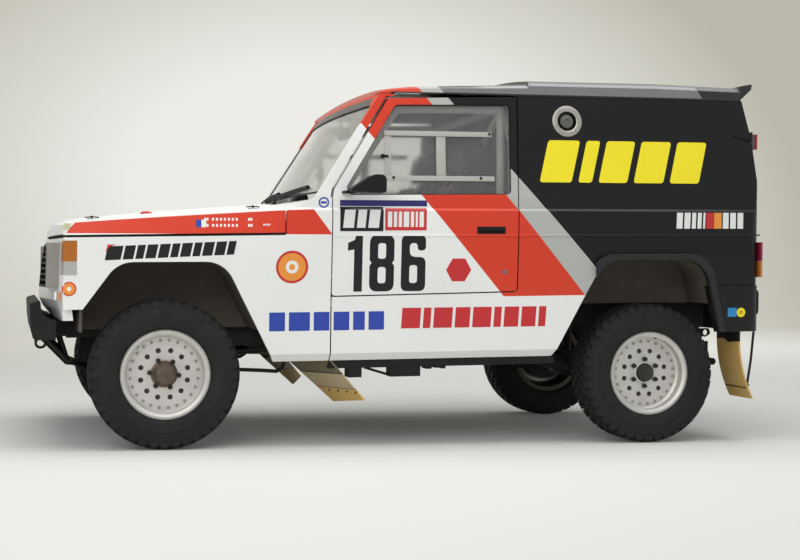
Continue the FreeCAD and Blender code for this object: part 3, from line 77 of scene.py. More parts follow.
class Side(Enum):
    """The two sides of the car, with the sign of Y on each."""

    LEFT = -1
    RIGHT = 1

    @property
    def tag(self) -> str:
        """The side's word in the names of pieces and bodies."""
        return self.name.lower()

    @property
    def outward(self) -> Vector:
        """The direction away from the car's middle."""
        return Vector((0, self.value, 0))


class Axle(Enum):
    """The two axles, with the sign of X on each."""

    FRONT = -1
    REAR = 1


def srgb(red: int, green: int, blue: int) -> Colour:
    """Give the linear colour of an 8-bit sRGB one.

    Args:
        red: Red from 0 to 255.
        green: Green from 0 to 255.
        blue: Blue from 0 to 255.

    Returns:
        Linear red, green and blue with full alpha.
    """
    def linear(value: float) -> float:
        """Undo the sRGB curve of one channel."""
        return value / 12.92 if value <= 0.04045 else ((value + 0.055) / 1.055) ** 2.4

    return (linear(red / 255), linear(green / 255), linear(blue / 255), 1.0)


def level(x: float, y: float, z: float) -> Vector:
    """Give the place in metres of a body point in millimetres of the level frame."""
    return Vector((x * MM, y * MM, (z + RAKE * x) * MM))


def put(name: str, data: bpy.types.ID) -> bpy.types.Object:
    """Make an object of a mesh, lamp or camera and link it to the scene."""
    made = bpy.data.objects.new(name, data)
    bpy.context.scene.collection.objects.link(made)
    return made


# Shader graphs

class Graph:
    """A node tree, with the steps that shaders and patterns share."""

    tree: bpy.types.NodeTree

    def node(self, kind: str, inputs: Optional[dict] = None, **settings) -> bpy.types.Node:
        """Add a node.

        Args:
            kind: The node's type name.
            inputs: Values or sockets by input name or number.
            **settings: Properties of the node itself.

        Returns:
            The new node.
        """
        made = self.tree.nodes.new(kind)
        for key, value in settings.items():
            setattr(made, key, value)
        for key, value in (inputs or {}).items():
            self.feed(made.inputs[key], value)
        return made

    def feed(self, socket: Socket, value: object) -> None:
        """Link a socket to an input, or set the input's value."""
        if isinstance(value, Socket):
            self.tree.links.new(value, socket)
        else:
            socket.default_value = value


class ShaderGraph(Graph):
    """A material's node tree, with the few steps that the finishes share."""

    def __init__(self, name: str) -> None:
        """Start a material with one Principled shader.

        Args:
            name: The material's name.
        """
        self.material = bpy.data.materials.new(name)
        self.material.use_nodes = True
        self.tree = self.material.node_tree
        self.tree.nodes.clear()
        self.output = self.node("ShaderNodeOutputMaterial")
        self.shader = self.node("ShaderNodeBsdfPrincipled")
        self.feed(self.output.inputs[0], self.shader.outputs[0])
        self.place = self.node("ShaderNodeTexCoord").outputs["Object"]

    def set(self, **values: object) -> None:
        """Set or link the shader's own inputs, with underscores for the spaces in their names."""
        for name, value in values.items():
            self.feed(self.shader.inputs[name.replace("_", " ")], value)

    def math(self, operation: str, first: object, second: object = 0.0) -> Socket:
        """Do one sum on two values or sockets."""
        return self.node("ShaderNodeMath", {0: first, 1: second}, operation=operation).outputs[0]

    def times(self, first: object, second: object) -> Socket:
        """Multiply two values or sockets."""
        return self.math("MULTIPLY", first, second)

    def above(self, value: object, limit: object) -> Socket:
        """Give 1 where a value is above a limit, and 0 elsewhere."""
        return self.math("GREATER_THAN", value, limit)

    def below(self, value: object, limit: object) -> Socket:
        """Give 1 where a value is below a limit, and 0 elsewhere."""
        return self.math("LESS_THAN", value, limit)

    def bands(self, scale: float, direction: str, distortion: float = 0.0) -> Socket:
        """Give a wave of bands across a direction, 0 to 1."""
        return self.node("ShaderNodeTexWave", {"Vector": self.place, "Scale": scale, "Distortion": distortion},
                         wave_type="BANDS", bands_direction=direction).outputs["Fac"]

    def scaled(self, factors: Sequence[float]) -> Socket:
        """Give the Object coordinates, stretched by a factor on each axis."""
        return self.node("ShaderNodeMapping", {"Vector": self.place, "Scale": tuple(factors)}).outputs[0]

    def noise(self, scale: float, detail: float = 3.0, roughness: float = 0.5,
              stretch: Optional[Sequence[float]] = None) -> Socket:
        """Give a noise value.

        Args:
            scale: Cells in a metre.
            detail: Octaves.
            roughness: Strength of the finer octaves.
            stretch: Factor on each axis, or None for an even noise.

        Returns:
            The value's socket, about 0.3 to 0.7.
        """
        vector = self.scaled(stretch) if stretch else self.place
        return self.node("ShaderNodeTexNoise", {"Vector": vector, "Scale": scale, "Detail": detail,
                                                "Roughness": roughness}).outputs[0]

    def remap(self, value: object, low: float, high: float, to_low: float = 0.0,
              to_high: float = 1.0) -> Socket:
        """Move a value from one range to another and keep it inside."""
        return self.node("ShaderNodeMapRange", {0: value, 1: low, 2: high, 3: to_low, 4: to_high}).outputs[0]

    def mix(self, share: object, first: object, second: object) -> Socket:
        """Mix two colours by a share."""
        made = self.node("ShaderNodeMix", {0: share, 6: first, 7: second}, data_type="RGBA")
        return made.outputs[2]

    def axis(self, name: str) -> Socket:
        """Give one of the Object coordinates by its letter."""
        return self.node("ShaderNodeSeparateXYZ", {0: self.place}).outputs["XYZ".index(name)]

    def across(self) -> Socket:
        """Give the distance in metres from the car's middle."""
        return self.math("ABSOLUTE", self.axis("Y"))

    def beside(self, start: Point2, end: Point2) -> Socket:
        """Give 1 to the left of a line on the car's side, and 0 to its right.

        Args:
            start: First (x, level height) point in millimetres.
            end: Second point.

        Returns:
            The mask's socket.
        """
        along, up = end[0] - start[0], end[1] - start[1]
        normal = (-up - RAKE * along, 0.0, along)
        origin = level(start[0], 0, start[1])
        limit = normal[0] * origin.x + normal[2] * origin.z
        dot = self.node("ShaderNodeVectorMath", {0: self.place, 1: normal}, operation="DOT_PRODUCT")
        return self.above(dot.outputs["Value"], limit)

    def inside(self, corners: Outline) -> Socket:
        """Give 1 inside a convex outline on the car's side, drawn counter-clockwise, and 0 outside."""
        mask = None
        for start, end in zip(corners, list(corners[1:]) + [corners[0]]):
            edge = self.beside(start, end)
            mask = edge if mask is None else self.times(mask, edge)
        return mask

    def height(self) -> Socket:
        """Give the height in metres in the level body frame."""
        return self.math("SUBTRACT", self.axis("Z"), self.times(self.axis("X"), RAKE))

    def inward(self) -> Socket:
        """Give 1 on the inner faces of the body's sides and 0 on their painted outside."""
        height = self.height()
        outer = BODY_SECTION[0][1] * MM
        for (low, narrow), (high, wide) in zip(BODY_SECTION, BODY_SECTION[1:]):
            if narrow != wide:
                step = self.remap(height, low * MM, high * MM, 0.0, (wide - narrow) * MM)
                outer = self.math("ADD", step, outer)
        depth = self.math("SUBTRACT", outer, self.across())
        reveal = self.remap(height, 0.985, 0.990, 0.004, 0.030)
        mask = self.above(depth, reveal)
        tail = self.remap(height, 1.135, 1.662, 1.690, REAR_END)
        for low, high in ((self.axis("X"), tail), (height, HEADER_FOOT), (-REAR_END, self.axis("X"))):
            mask = self.times(mask, self.below(low, high))
        return mask

    def sealed(self) -> Socket:
        """Give 1 where the inner faces carry underseal, and 0 inside the cabin."""
        low = self.below(self.height(), SEALED_BELOW)
        arch = self.times(self.above(self.axis("X"), ARCH_FROM), self.below(self.height(), ARCH_HEAD))
        ahead = self.below(self.axis("X"), BULKHEAD)
        return self.math("MAXIMUM", low, self.math("MAXIMUM", arch, ahead))

    def behind_doors(self) -> Socket:
        """Give 1 behind the doors, where the inner faces are dark."""
        return self.above(self.axis("X"), DOOR_REAR)

    def bump(self, height: Socket, strength: float, distance: float) -> Socket:
        """Give a normal that is bumped by a height."""
        return self.node("ShaderNodeBump", {"Height": height, "Strength": strength,
                                            "Distance": distance}).outputs[0]

    def speckle(self, scale: float) -> Socket:
        """Give a fine grain of cells, 0 to 1."""
        return self.node("ShaderNodeTexVoronoi", {"Vector": self.place, "Scale": scale}).outputs["Distance"]

    def dusted(self, colour: object, dust: Colour, low: float, high: float,
               most: float) -> Socket:
        """Lay a film of dust over a colour, thicker towards the ground.

        Args:
            colour: The clean colour.
            dust: The dust's colour.
            low: Height in metres with the most dust.
            high: Height without dust.
            most: Share of dust at the low height.

        Returns:
            The colour's socket.
        """
        fall = self.remap(self.axis("Z"), low, high, most, 0.0)
        patchy = self.remap(self.noise(3.5, 5, 0.6), 0.35, 0.7, 0.45, 1.15)
        return self.mix(self.times(fall, patchy), colour, dust)


DUST = srgb(150, 138, 118)
CABIN_WHITE = srgb(214, 214, 208)
UNDERSEAL = srgb(88, 81, 73)
REAR_INNER_DARK = srgb(34, 34, 36)


# Finishes

@dataclass(frozen=True)
class Patch:
    """One painted field on the car's side, inside a convex outline of (x, level height) points."""

    colour: Colour
    corners: tuple[Point2, ...]


@dataclass(frozen=True)
class Paint:
    """Gloss paint with orange peel, a clear coat, painted fields and a light film of dust.

    The middle and edge fields lie only within, or beyond, a distance from the car's middle.
    """

    name: str
    colour: Colour
    patches: tuple[Patch, ...] = ()
    roughness: float = 0.34
    coat: float = 0.12
    dust: float = 0.04
    lined: bool = False
    middle: Optional[Patch] = None
    middle_reach: float = 0.694
    edge: Optional[Patch] = None
    edge_from: float = 0.763
    patched_from: float = 0.0

    def build(self) -> Material:
        """Make the material."""
        graph = ShaderGraph(self.name)
        tone = graph.remap(graph.noise(2.2, 4), 0.3, 0.7, 0.0, 1.0)
        shade = tuple(c * 0.95 for c in self.colour[:3]) + (1.0,)
        colour = graph.mix(tone, self.colour, shade)
        across = graph.across()
        flank = graph.above(across, self.patched_from)
        for patch in self.patches:
            field = graph.inside(patch.corners)
            if self.patched_from:
                field = graph.times(field, flank)
            colour = graph.mix(field, colour, patch.colour)
        for patch, pick, limit in ((self.middle, graph.below, self.middle_reach),
                                   (self.edge, graph.above, self.edge_from)):
            if patch:
                colour = graph.mix(graph.times(pick(across, limit), graph.inside(patch.corners)), colour, patch.colour)
        if self.lined:
            # Behind the doors the inner faces are dark.
            cabin = graph.mix(graph.behind_doors(), CABIN_WHITE, REAR_INNER_DARK)
            colour = graph.mix(graph.inward(), colour, graph.mix(graph.sealed(), cabin, UNDERSEAL))
        colour = graph.dusted(colour, DUST, 0.35, 0.95, self.dust)
        scratches = graph.remap(graph.noise(40, 8, 0.7, (1, 1, 9)), 0.42, 0.75, 0.0, 0.16)
        rough = graph.math("ADD", scratches, self.roughness)
        peel = graph.bump(graph.noise(420, 2), 0.05, 0.0006)
        graph.set(Base_Color=colour, Roughness=rough, Normal=peel, Coat_Weight=self.coat,
                  Coat_Roughness=0.12, Specular_IOR_Level=0.28)
        return graph.material


@dataclass(frozen=True)
class Satin:
    """Satin or matt coating on trim and chassis, with a fine grain and wear."""

    name: str
    colour: Colour
    worn: Colour
    roughness: float = 0.55
    grain: float = 900.0
    depth: float = 0.00025
    dust: float = 0.2
    flank: Optional[Colour] = None
    flank_from: float = 0.515

    def build(self) -> Material:
        """Make the material, with its flank colour beyond a distance from the car's middle."""
        graph = ShaderGraph(self.name)
        wear = graph.remap(graph.noise(14, 7, 0.7), 0.52, 0.78, 0.0, 0.55)
        colour = graph.mix(wear, self.colour, self.worn)
        if self.flank:
            beyond = graph.above(graph.across(), self.flank_from)
            colour = graph.mix(beyond, colour, self.flank)
        colour = graph.dusted(colour, DUST, 0.1, 0.8, self.dust)
        rough = graph.remap(graph.noise(30, 5), 0.3, 0.7, self.roughness - 0.08, self.roughness + 0.1)
        graph.set(Base_Color=colour, Roughness=rough, Specular_IOR_Level=0.25,
                  Normal=graph.bump(graph.speckle(self.grain), 0.35, self.depth))
        return graph.material


@dataclass(frozen=True)
class Metal:
    """Bare metal with brush marks or casting grain, and stains."""

    name: str
    colour: Colour
    stain: Colour
    roughness: float = 0.34
    brush: tuple[float, float, float] = (60.0, 60.0, 60.0)
    depth: float = 0.0002
    stained: float = 0.35
    soot_and_shade_within: float = 0.0

    def build(self) -> Material:
        """Make the material."""
        graph = ShaderGraph(self.name)
        marks = graph.noise(6, 6, 0.6, self.brush)
        stains = graph.remap(graph.noise(11, 6, 0.65), 0.45, 0.72, 0.0, self.stained)
        colour = graph.mix(stains, self.colour, self.stain)
        # Inside this distance the rim's inner barrel darkens towards underseal: partly real soot, partly painted
        # shade.
        if self.soot_and_shade_within:
            across = graph.across()
            soot_and_shade = graph.remap(across, self.soot_and_shade_within - 0.012, self.soot_and_shade_within, 1.0, 0.0)
            colour = graph.mix(soot_and_shade, colour, UNDERSEAL)
        rough = graph.remap(marks, 0.3, 0.7, self.roughness - 0.1, self.roughness + 0.14)
        graph.set(Base_Color=colour, Roughness=rough, Metallic=0.9,
                  Normal=graph.bump(marks, 0.25, self.depth))
        return graph.material


@dataclass(frozen=True)
class Glass:
    """Clear or tinted sheet with a faint haze of dust."""

    name: str
    tint: Colour
    haze: float = 0.03
    roughness: float = 0.02

    def build(self) -> Material:
        """Make the material."""
        graph = ShaderGraph(self.name)
        film = graph.remap(graph.noise(5, 6, 0.7), 0.4, 0.75, self.roughness, self.roughness + 0.1)
        graph.set(Base_Color=self.tint, Roughness=film, Transmission_Weight=1.0 - self.haze, IOR=1.45)
        return graph.material


@dataclass(frozen=True)
class LampLens:
    """Fluted lens whose colour follows the lamp's field: clear, amber and red, with black housings."""

    name: str
    clear: Colour
    amber: Colour
    red: Colour
    housing: Colour
    flank_from: float = 0.762
    corner_from: float = 0.876
    red_from: float = 0.862
    high_from: float = 1.30
    housing_end: float = 1.756

    def build(self) -> Material:
        """Make the material."""
        graph = ShaderGraph(self.name)
        height, along = graph.height(), graph.axis("X")
        flank = graph.above(graph.across(), self.flank_from)
        corner = graph.times(flank, graph.above(height, self.corner_from))
        tail = graph.above(along, 0.0)
        upper = graph.above(height, self.red_from)
        colour = graph.mix(corner, self.clear, self.amber)
        colour = graph.mix(tail, colour, graph.mix(upper, self.amber, self.red))
        block = graph.times(graph.above(height, self.high_from), graph.below(along, self.housing_end))
        colour = graph.mix(block, colour, self.housing)
        bowl = graph.below(graph.math("ADD", tail, flank), 0.5)
        through = graph.math("SUBTRACT", graph.remap(bowl, 0.0, 1.0, 0.32, 0.92), block)
        graph.set(Base_Color=colour, Roughness=graph.remap(graph.noise(6, 4), 0.3, 0.7, 0.06, 0.16),
                  Transmission_Weight=through, IOR=1.45, Normal=graph.bump(graph.bands(22.0, "DIAGONAL"), 0.7, 0.0016))
        return graph.material


@dataclass(frozen=True)
class Rubber:
    """Tyre rubber or sheet rubber, dusty in its recesses.

    Behind the car's middle it is darker above a level height; ahead of it, it changes colour from each of the
    front bands' heights upwards, the top band partly painted shade.
    """

    name: str
    colour: Colour
    dust: float = 0.3
    roughness: float = 0.72
    moulded: float = 260.0
    dark_top: Optional[Colour] = None
    dark_top_from: float = 0.462
    front_bands: tuple[tuple[float, Colour], ...] = ()

    def build(self) -> Material:
        """Make the material."""
        graph = ShaderGraph(self.name)
        scuff = graph.remap(graph.noise(5, 7, 0.6), 0.40, 0.78, 0.0, self.dust)
        colour = graph.mix(scuff, self.colour, DUST)
        if self.dark_top:
            edge = graph.math("ADD", graph.height(), graph.remap(graph.noise(9, 5), 0.3, 0.7, -0.014, 0.014))
            ahead = colour
            # The front flaps' darker top band is partly painted shade under the body.
            for height, shade in self.front_bands:
                ahead = graph.mix(graph.above(graph.height(), height), ahead, shade)
            # Behind the middle the flap is darker above a level height.
            behind = graph.mix(graph.above(edge, self.dark_top_from), colour, self.dark_top)
            colour = graph.mix(graph.above(graph.axis("X"), 0.0), ahead, behind)
        colour = graph.dusted(colour, DUST, 0.0, 0.18, self.dust * 0.5)
        rough = graph.remap(graph.noise(24, 4), 0.3, 0.7, self.roughness - 0.1, self.roughness + 0.12)
        graph.set(Base_Color=colour, Roughness=rough, Specular_IOR_Level=0.25,
                  Normal=graph.bump(graph.noise(self.moulded, 3), 0.4, 0.0007))
        return graph.material


@dataclass(frozen=True)
class Cloth:
    """Woven cloth with a weft and a warp."""

    name: str
    colour: Colour
    thread: Colour
    count: float = 420.0

    def build(self) -> Material:
        """Make the material."""
        graph = ShaderGraph(self.name)
        weave = None
        for direction in ("X", "Z"):
            wave = graph.bands(self.count, direction, 0.4)
            weave = wave if weave is None else graph.math("MAXIMUM", weave, wave)
        fade = graph.remap(graph.noise(7, 5), 0.35, 0.7, 0.0, 0.45)
        colour = graph.mix(weave, self.colour, self.thread)
        colour = graph.mix(fade, colour, DUST)
        graph.set(Base_Color=colour, Roughness=0.92, Sheen_Weight=0.35, Sheen_Roughness=0.5,
                  Normal=graph.bump(weave, 0.6, 0.0008))
        return graph.material


WHITE = srgb(238, 238, 234)
RED = srgb(214, 62, 38)
SILVER = srgb(178, 180, 174)
BLACK = srgb(16, 16, 17)

# The three long diagonals of the livery, each from the roof down to the sill.
STRIPE_HEAD = 1880.0
WHITE_TO_RED = ((-595.0, STRIPE_HEAD), (418.0, 701.0))
RED_TO_SILVER = ((-166.0, STRIPE_HEAD), (831.0, 700.0))
SILVER_TO_BLACK = ((-75.0, STRIPE_HEAD), (902.0, 815.0))
FAR_REAR = 3000.0
FAR_DOWN = 1090.0
RED_LOW = 703.0
GUTTER_LINE, GUTTER_TOP = 1656.0, 1668.0


def slanted(x: float, width: float, low: float, high: float, lean: float = 0.0) -> tuple[Point2, ...]:
    """Give a four-cornered field, upright or leaning, from its foot's front end, its width and its heights."""
    shift = (high - low) * lean
    return ((x, low), (x + width, low), (x + width + shift, high), (x + shift, high))


def stripes() -> tuple[Patch, ...]:
    """Give the livery's fields on the body sides, doors and roof, from the front to the rear, and a painted shadow
    line under the roof.
    """
    red_foot = (RED_TO_SILVER[1][0], RED_LOW)
    red = Patch(RED, (WHITE_TO_RED[0], WHITE_TO_RED[1], red_foot, RED_TO_SILVER[0]))
    foot = (SILVER_TO_BLACK[1][0] + 1000.0, SILVER_TO_BLACK[1][1] - FAR_DOWN)
    silver = Patch(SILVER, (RED_TO_SILVER[0], red_foot, (1003.0, RED_LOW), SILVER_TO_BLACK[0]))
    black = Patch(BLACK, (SILVER_TO_BLACK[0], foot, (FAR_REAR, foot[1]), (FAR_REAR, STRIPE_HEAD)))
    # A painted shadow: a black line along the roof's lower edge, where the shade of the join falls.
    gutter_shade = Patch(BLACK, slanted(-138.0, 1828.0, GUTTER_LINE, GUTTER_TOP))
    return red, silver, black, gutter_shade


SUN_STRIP = Patch(srgb(92, 91, 88), slanted(-420.0, 520.0, 1500.0, 1646.0))
# A painted sheen: the black roof's side flange is light grey where the real flange reflects the light.
ROOF_FLANGE_SHEEN = Patch(srgb(116, 116, 115), ((118.0, 1670.0), (1452.0, 1670.0), (1392.0, 1764.0), (32.0, 1764.0)))
BONNET_STRIPE = Patch(RED, ((-1621.0, 1001.0), (-421.0, 995.0), (-511.0, 1112.0), (-645.0, 1107.0),
                            (-1119.0, 1083.0), (-1584.0, 1048.0)))
# A painted shadow: a black line along the bonnet's shut line, where the shade of the gap falls.
BONNET_GAP_SHADE = Patch(BLACK, ((-1700.0, 981.0), (-640.0, 992.0), (-640.0, 1004.0), (-1700.0, 992.0)))


# Colours of the front mud flaps, each from a level height in metres upwards; the darker top band is partly painted
# shade under the body.
FLAP_BANDS_AND_SHADE = ((0.272, srgb(104, 94, 80)), (0.276, srgb(188, 168, 134)), (0.345, srgb(60, 54, 46)),
              (0.350, srgb(118, 108, 86)))
VINYLS = {"blue": (44, 70, 168), "sky": (40, 140, 200), "navy": (46, 44, 108), "cream": (212, 212, 178),
          "red": (200, 46, 50), "orange": (238, 150, 60), "white": (234, 234, 230)}


class Palette:
    """Every finish of the car, built once and handed out by name."""

    def __init__(self) -> None:
        """Build all the finishes."""
        finishes = (
            Paint("paint_livery", WHITE, stripes(), lined=True),
            Paint("paint_frame", WHITE, stripes(), middle=SUN_STRIP),
            # The roof's edge field is a painted sheen on its side flange.
            Paint("paint_roof", WHITE, stripes(), 0.30, 1.0, edge=ROOF_FLANGE_SHEEN),
            Paint("paint_bonnet", WHITE, (BONNET_STRIPE, BONNET_GAP_SHADE), patched_from=0.790),
            Paint("paint_wing", WHITE, (BONNET_STRIPE, BONNET_GAP_SHADE), lined=True),
            Paint("paint_white", WHITE),
            Paint("paint_black", BLACK, (), 0.3, 0.12, 0.04),
            Paint("cabin_white", CABIN_WHITE, (), 0.5, 0.1, 0.1),
            Paint("tube_white", srgb(218, 218, 212), (), 0.45, 0.2, 0.05),
            Paint("vinyl_black", srgb(22, 22, 23), (), 0.42, 0.2, 0.02),
            Paint("vinyl_yellow", srgb(246, 228, 36), (), 0.4, 0.25, 0.0),
            Paint("lock_grey", srgb(120, 118, 114), (), 0.4, 0.3, 0.02),
            Paint("lamp_amber", srgb(206, 140, 110), (), 0.25, 0.6, 0.0),
            Paint("lens_red", srgb(150, 36, 62), (), 0.2, 0.6, 0.0),
            Paint("lens_amber", srgb(196, 120, 44), (), 0.2, 0.6, 0.0),
            Satin("trim_black", srgb(20, 20, 21), srgb(30, 30, 29), dust=0.03),
            Satin("flare_black", srgb(42, 42, 43), srgb(48, 47, 46), 0.6, 700.0, dust=0.04),
            Satin("grille_black", srgb(28, 28, 29), srgb(44, 43, 42), dust=0.05, flank=srgb(146, 143, 136)),
            Satin("slider_plastic", srgb(178, 176, 169), srgb(160, 158, 151), 0.4, 300.0, 0.0001, 0.0),
            Satin("chassis_black", srgb(24, 23, 22), srgb(48, 42, 36), 0.62, 500.0, 0.0004, 0.12),
            Satin("liner_black", UNDERSEAL, srgb(100, 90, 78), 0.85, 240.0, 0.0012, 0.05),
            Satin("dash_black", srgb(30, 30, 32), srgb(44, 44, 46), 0.8, 700.0, 0.0005, 0.0),
            Satin("shell_black", srgb(26, 26, 30), srgb(40, 40, 44), 0.5, 700.0, 0.0002, 0.0),
            Satin("gauge_white", srgb(222, 222, 214), srgb(200, 200, 190), 0.5, 900.0, 0.00005, 0.0),
            Metal("cast_iron", srgb(70, 68, 66), srgb(52, 44, 38), 0.55, (60, 60, 60), 0.0006, 0.6),
            Metal("spring_steel", srgb(46, 44, 42), srgb(40, 32, 27), 0.5, (20, 90, 90), 0.0003, 0.6),
            Metal("exhaust_steel", srgb(126, 120, 112), srgb(92, 66, 46), 0.42, (12, 80, 80), 0.0002, 0.6),
            Metal("tank_alloy", srgb(196, 198, 200), srgb(150, 150, 148), 0.3, (8, 90, 90), 0.0001, 0.3),
            Metal("radiator_alloy", srgb(120, 120, 118), srgb(70, 64, 58), 0.5, (60, 8, 60), 0.0002, 0.5),
            Metal("wheel_alloy", srgb(214, 211, 205), srgb(176, 170, 160), 0.5, (40, 40, 40), 0.0002, 0.3, 0.745),
            Metal("polished_lip", srgb(226, 225, 220), srgb(186, 182, 174), 0.3, (30, 30, 30), 0.0001, 0.2),
            Metal("zinc", srgb(168, 166, 160), srgb(96, 80, 66), 0.38, (60, 60, 60), 0.0002, 0.4),
            Metal("filler_grey", srgb(188, 184, 176), srgb(140, 134, 124), 0.45, (30, 30, 30), 0.0002, 0.4),
            Metal("hub_bronze", srgb(112, 98, 88), srgb(66, 58, 52), 0.55, (60, 60, 60), 0.0004, 0.6),
            Metal("cap_grey", srgb(120, 117, 112), srgb(84, 80, 75), 0.5, (60, 60, 60), 0.0002, 0.4),
            Metal("hub_dark", srgb(74, 72, 70), srgb(52, 48, 45), 0.6, (60, 60, 60), 0.0004, 0.5),
            Metal("reflector", srgb(205, 206, 206), srgb(180, 180, 178), 0.22, (10, 10, 10), 0.0001, 0.1),
            Glass("window_glass", (0.96, 0.97, 0.965, 1.0), 0.14, 0.01),
            Glass("pane_plastic", (0.84, 0.84, 0.82, 1.0), 0.07, 0.06),
            LampLens("lamp_lens", srgb(206, 204, 198), srgb(206, 122, 38), srgb(178, 38, 50), srgb(96, 95, 93)),
            Rubber("tyre_rubber", srgb(31, 31, 31), 0.03),
            Rubber("seal_rubber", srgb(20, 20, 20), 0.03, 0.6),
            Rubber("flap_tan", srgb(214, 176, 104), 0.16, 0.6, 120.0, srgb(34, 32, 30), front_bands=FLAP_BANDS_AND_SHADE),
            Cloth("seat_cloth", srgb(34, 36, 46), srgb(58, 62, 76)),
            Cloth("belt_webbing", srgb(150, 28, 28), srgb(190, 52, 48), 900.0),
            Cloth("wheel_suede", srgb(26, 26, 27), srgb(44, 44, 46), 700.0),
        )
        vinyls = tuple(Paint("vinyl_" + name, srgb(*colour), (), 0.4, 0.25, 0.02) for name, colour in VINYLS.items())
        self.materials = {finish.name: finish.build() for finish in finishes + vinyls}

    def __getitem__(self, name: str) -> Material:
        """Give a finish by its name."""
        return self.materials[name]


# Mesh making

def closed(bm: bmesh.types.BMesh, name: str, smooth: float) -> Mesh:
    """Write a bmesh to a new mesh, whose faces shade as one up to an angle in degrees."""
    made = bpy.data.meshes.new(name)
    bm.to_mesh(made)
    bm.free()
    made.shade_smooth()
    made.set_sharp_from_angle(angle=math.radians(smooth))
    return made


def modified(mesh: Mesh, kind: str, prepare: Callable[[bpy.types.Modifier], None]) -> Mesh:
    """Run one modifier on a mesh.

    Args:
        mesh: The mesh.
        kind: The modifier's type.
        prepare: Sets the modifier, and runs what it needs.

    Returns:
        The result as a plain mesh.
    """
    holder = put("holder", mesh)
    prepare(holder.modifiers.new("made", kind))
    made = bpy.data.meshes.new_from_object(holder.evaluated_get(bpy.context.evaluated_depsgraph_get()))
    bpy.data.objects.remove(holder)
    return made


class Form:
    """A mesh in the making, in metres in the car's frame."""

    def __init__(self) -> None:
        """Start empty."""
        self.bm = bmesh.new()

    def ring(self, points: Iterable[Vector]) -> list[bmesh.types.BMVert]:
        """Add vertices."""
        return [self.bm.verts.new(point) for point in points]

    def bridge(self, first: Sequence[bmesh.types.BMVert], second: Sequence[bmesh.types.BMVert]) -> None:
        """Join two closed rings of the same length with quads."""
        count = len(first)
        for index in range(count):
            following = (index + 1) % count
            corners = [first[index], first[following], second[following], second[index]]
            if len(set(corners)) == 4:
                self.bm.faces.new(corners)

    def loft(self, rings: Sequence[Sequence[Vector]], ring: bool = False) -> "Form":
        """Skin a row of rings.

        Args:
            rings: Rings with the same number of points.
            ring: Whether the last ring joins the first.

        Returns:
            This form.
        """
        made = [self.ring(points) for points in rings]
        for first, second in zip(made, made[1:]):
            self.bridge(first, second)
        if ring:
            self.bridge(made[-1], made[0])
        else:
            self.bm.faces.new(list(reversed(made[0])))
            self.bm.faces.new(made[-1])
        return self

    def prism(self, outline: Sequence[Vector], run: Vector) -> "Form":
        """Sweep a flat outline along a run."""
        return self.loft([outline, [point + run for point in outline]])

    def box(self, low: Vector, high: Vector) -> "Form":
        """Add a block between two corners."""
        base = [Vector((low.x, low.y, low.z)), Vector((high.x, low.y, low.z)),
                Vector((high.x, high.y, low.z)), Vector((low.x, high.y, low.z))]
        return self.prism(base, Vector((0, 0, high.z - low.z)))

    def tube(self, path: Sequence[Vector], radius: float, sides: int = 10, ring: bool = False,
             flat: float = 1.0) -> "Form":
        """Sweep a round section along a path.

        Args:
            path: The points of the centre line.
            radius: Radius in metres.
            sides: Number of sides.
            ring: Whether the path is a loop.
            flat: Height of the section as a share of its width.

        Returns:
            This form.
        """
        rings = []
        count = len(path)
        side = None
        for index, point in enumerate(path):
            before = path[index - 1] if ring or index else point
            after = path[(index + 1) % count] if ring or index < count - 1 else point
            forward = (after - before).normalized()
            if side is None:
                side = forward.orthogonal().normalized()
            side = (side - forward * side.dot(forward)).normalized()
            upward = forward.cross(side)
            rings.append([point + side * (radius * math.cos(turn)) + upward * (radius * flat * math.sin(turn))
                          for turn in (2 * math.pi * step / sides for step in range(sides))])
        return self.loft(rings, ring)

    def each(self, change: Callable[[Vector], Vector]) -> "Form":
        """Move every vertex by a rule."""
        for vertex in self.bm.verts:
            vertex.co = change(vertex.co.copy())
        return self

    def bevel(self, width: float, segments: int = 2, angle: float = 30.0) -> "Form":
        """Round the edges that are sharper than an angle in degrees."""
        bmesh.ops.remove_doubles(self.bm, verts=self.bm.verts, dist=MERGED_WITHIN)
        bmesh.ops.recalc_face_normals(self.bm, faces=self.bm.faces)
        limit = math.radians(angle)
        edges = [edge for edge in self.bm.edges if edge.is_manifold and edge.calc_face_angle(0) > limit]
        bmesh.ops.bevel(self.bm, geom=edges, offset=width, segments=segments, profile=0.6,
                        affect="EDGES", clamp_overlap=True)
        return self

    def mesh(self, name: str, smooth: float = 35.0) -> Mesh:
        """Close the form as a mesh.

        Args:
            name: The mesh's name.
            smooth: Angle in degrees up to which faces shade as one.

        Returns:
            The mesh, its doubles merged and its faces outward.
        """
        bmesh.ops.remove_doubles(self.bm, verts=self.bm.verts, dist=MERGED_WITHIN)
        bmesh.ops.recalc_face_normals(self.bm, faces=self.bm.faces)
        return closed(self.bm, name, smooth)


def turned(name: str, profile: Outline, centre: Vector, axis: Vector, segments: int = 48) -> Mesh:
    """Turn a closed profile about an axis.

    Args:
        name: The mesh's name.
        profile: (distance along the axis, radius) pairs in millimetres.
        centre: A point on the axis.
        axis: The axis.
        segments: Steps of the turn.

    Returns:
        The turned mesh.
    """
    axis = axis.normalized()
    side = axis.orthogonal().normalized()
    upward = axis.cross(side)
    rings = []
    for step in range(segments):
        turn = 2 * math.pi * step / segments
        outward = side * math.cos(turn) + upward * math.sin(turn)
        rings.append([centre + (axis * along + outward * radius) * MM for along, radius in profile])
    return Form().loft(rings, ring=True).mesh(name)


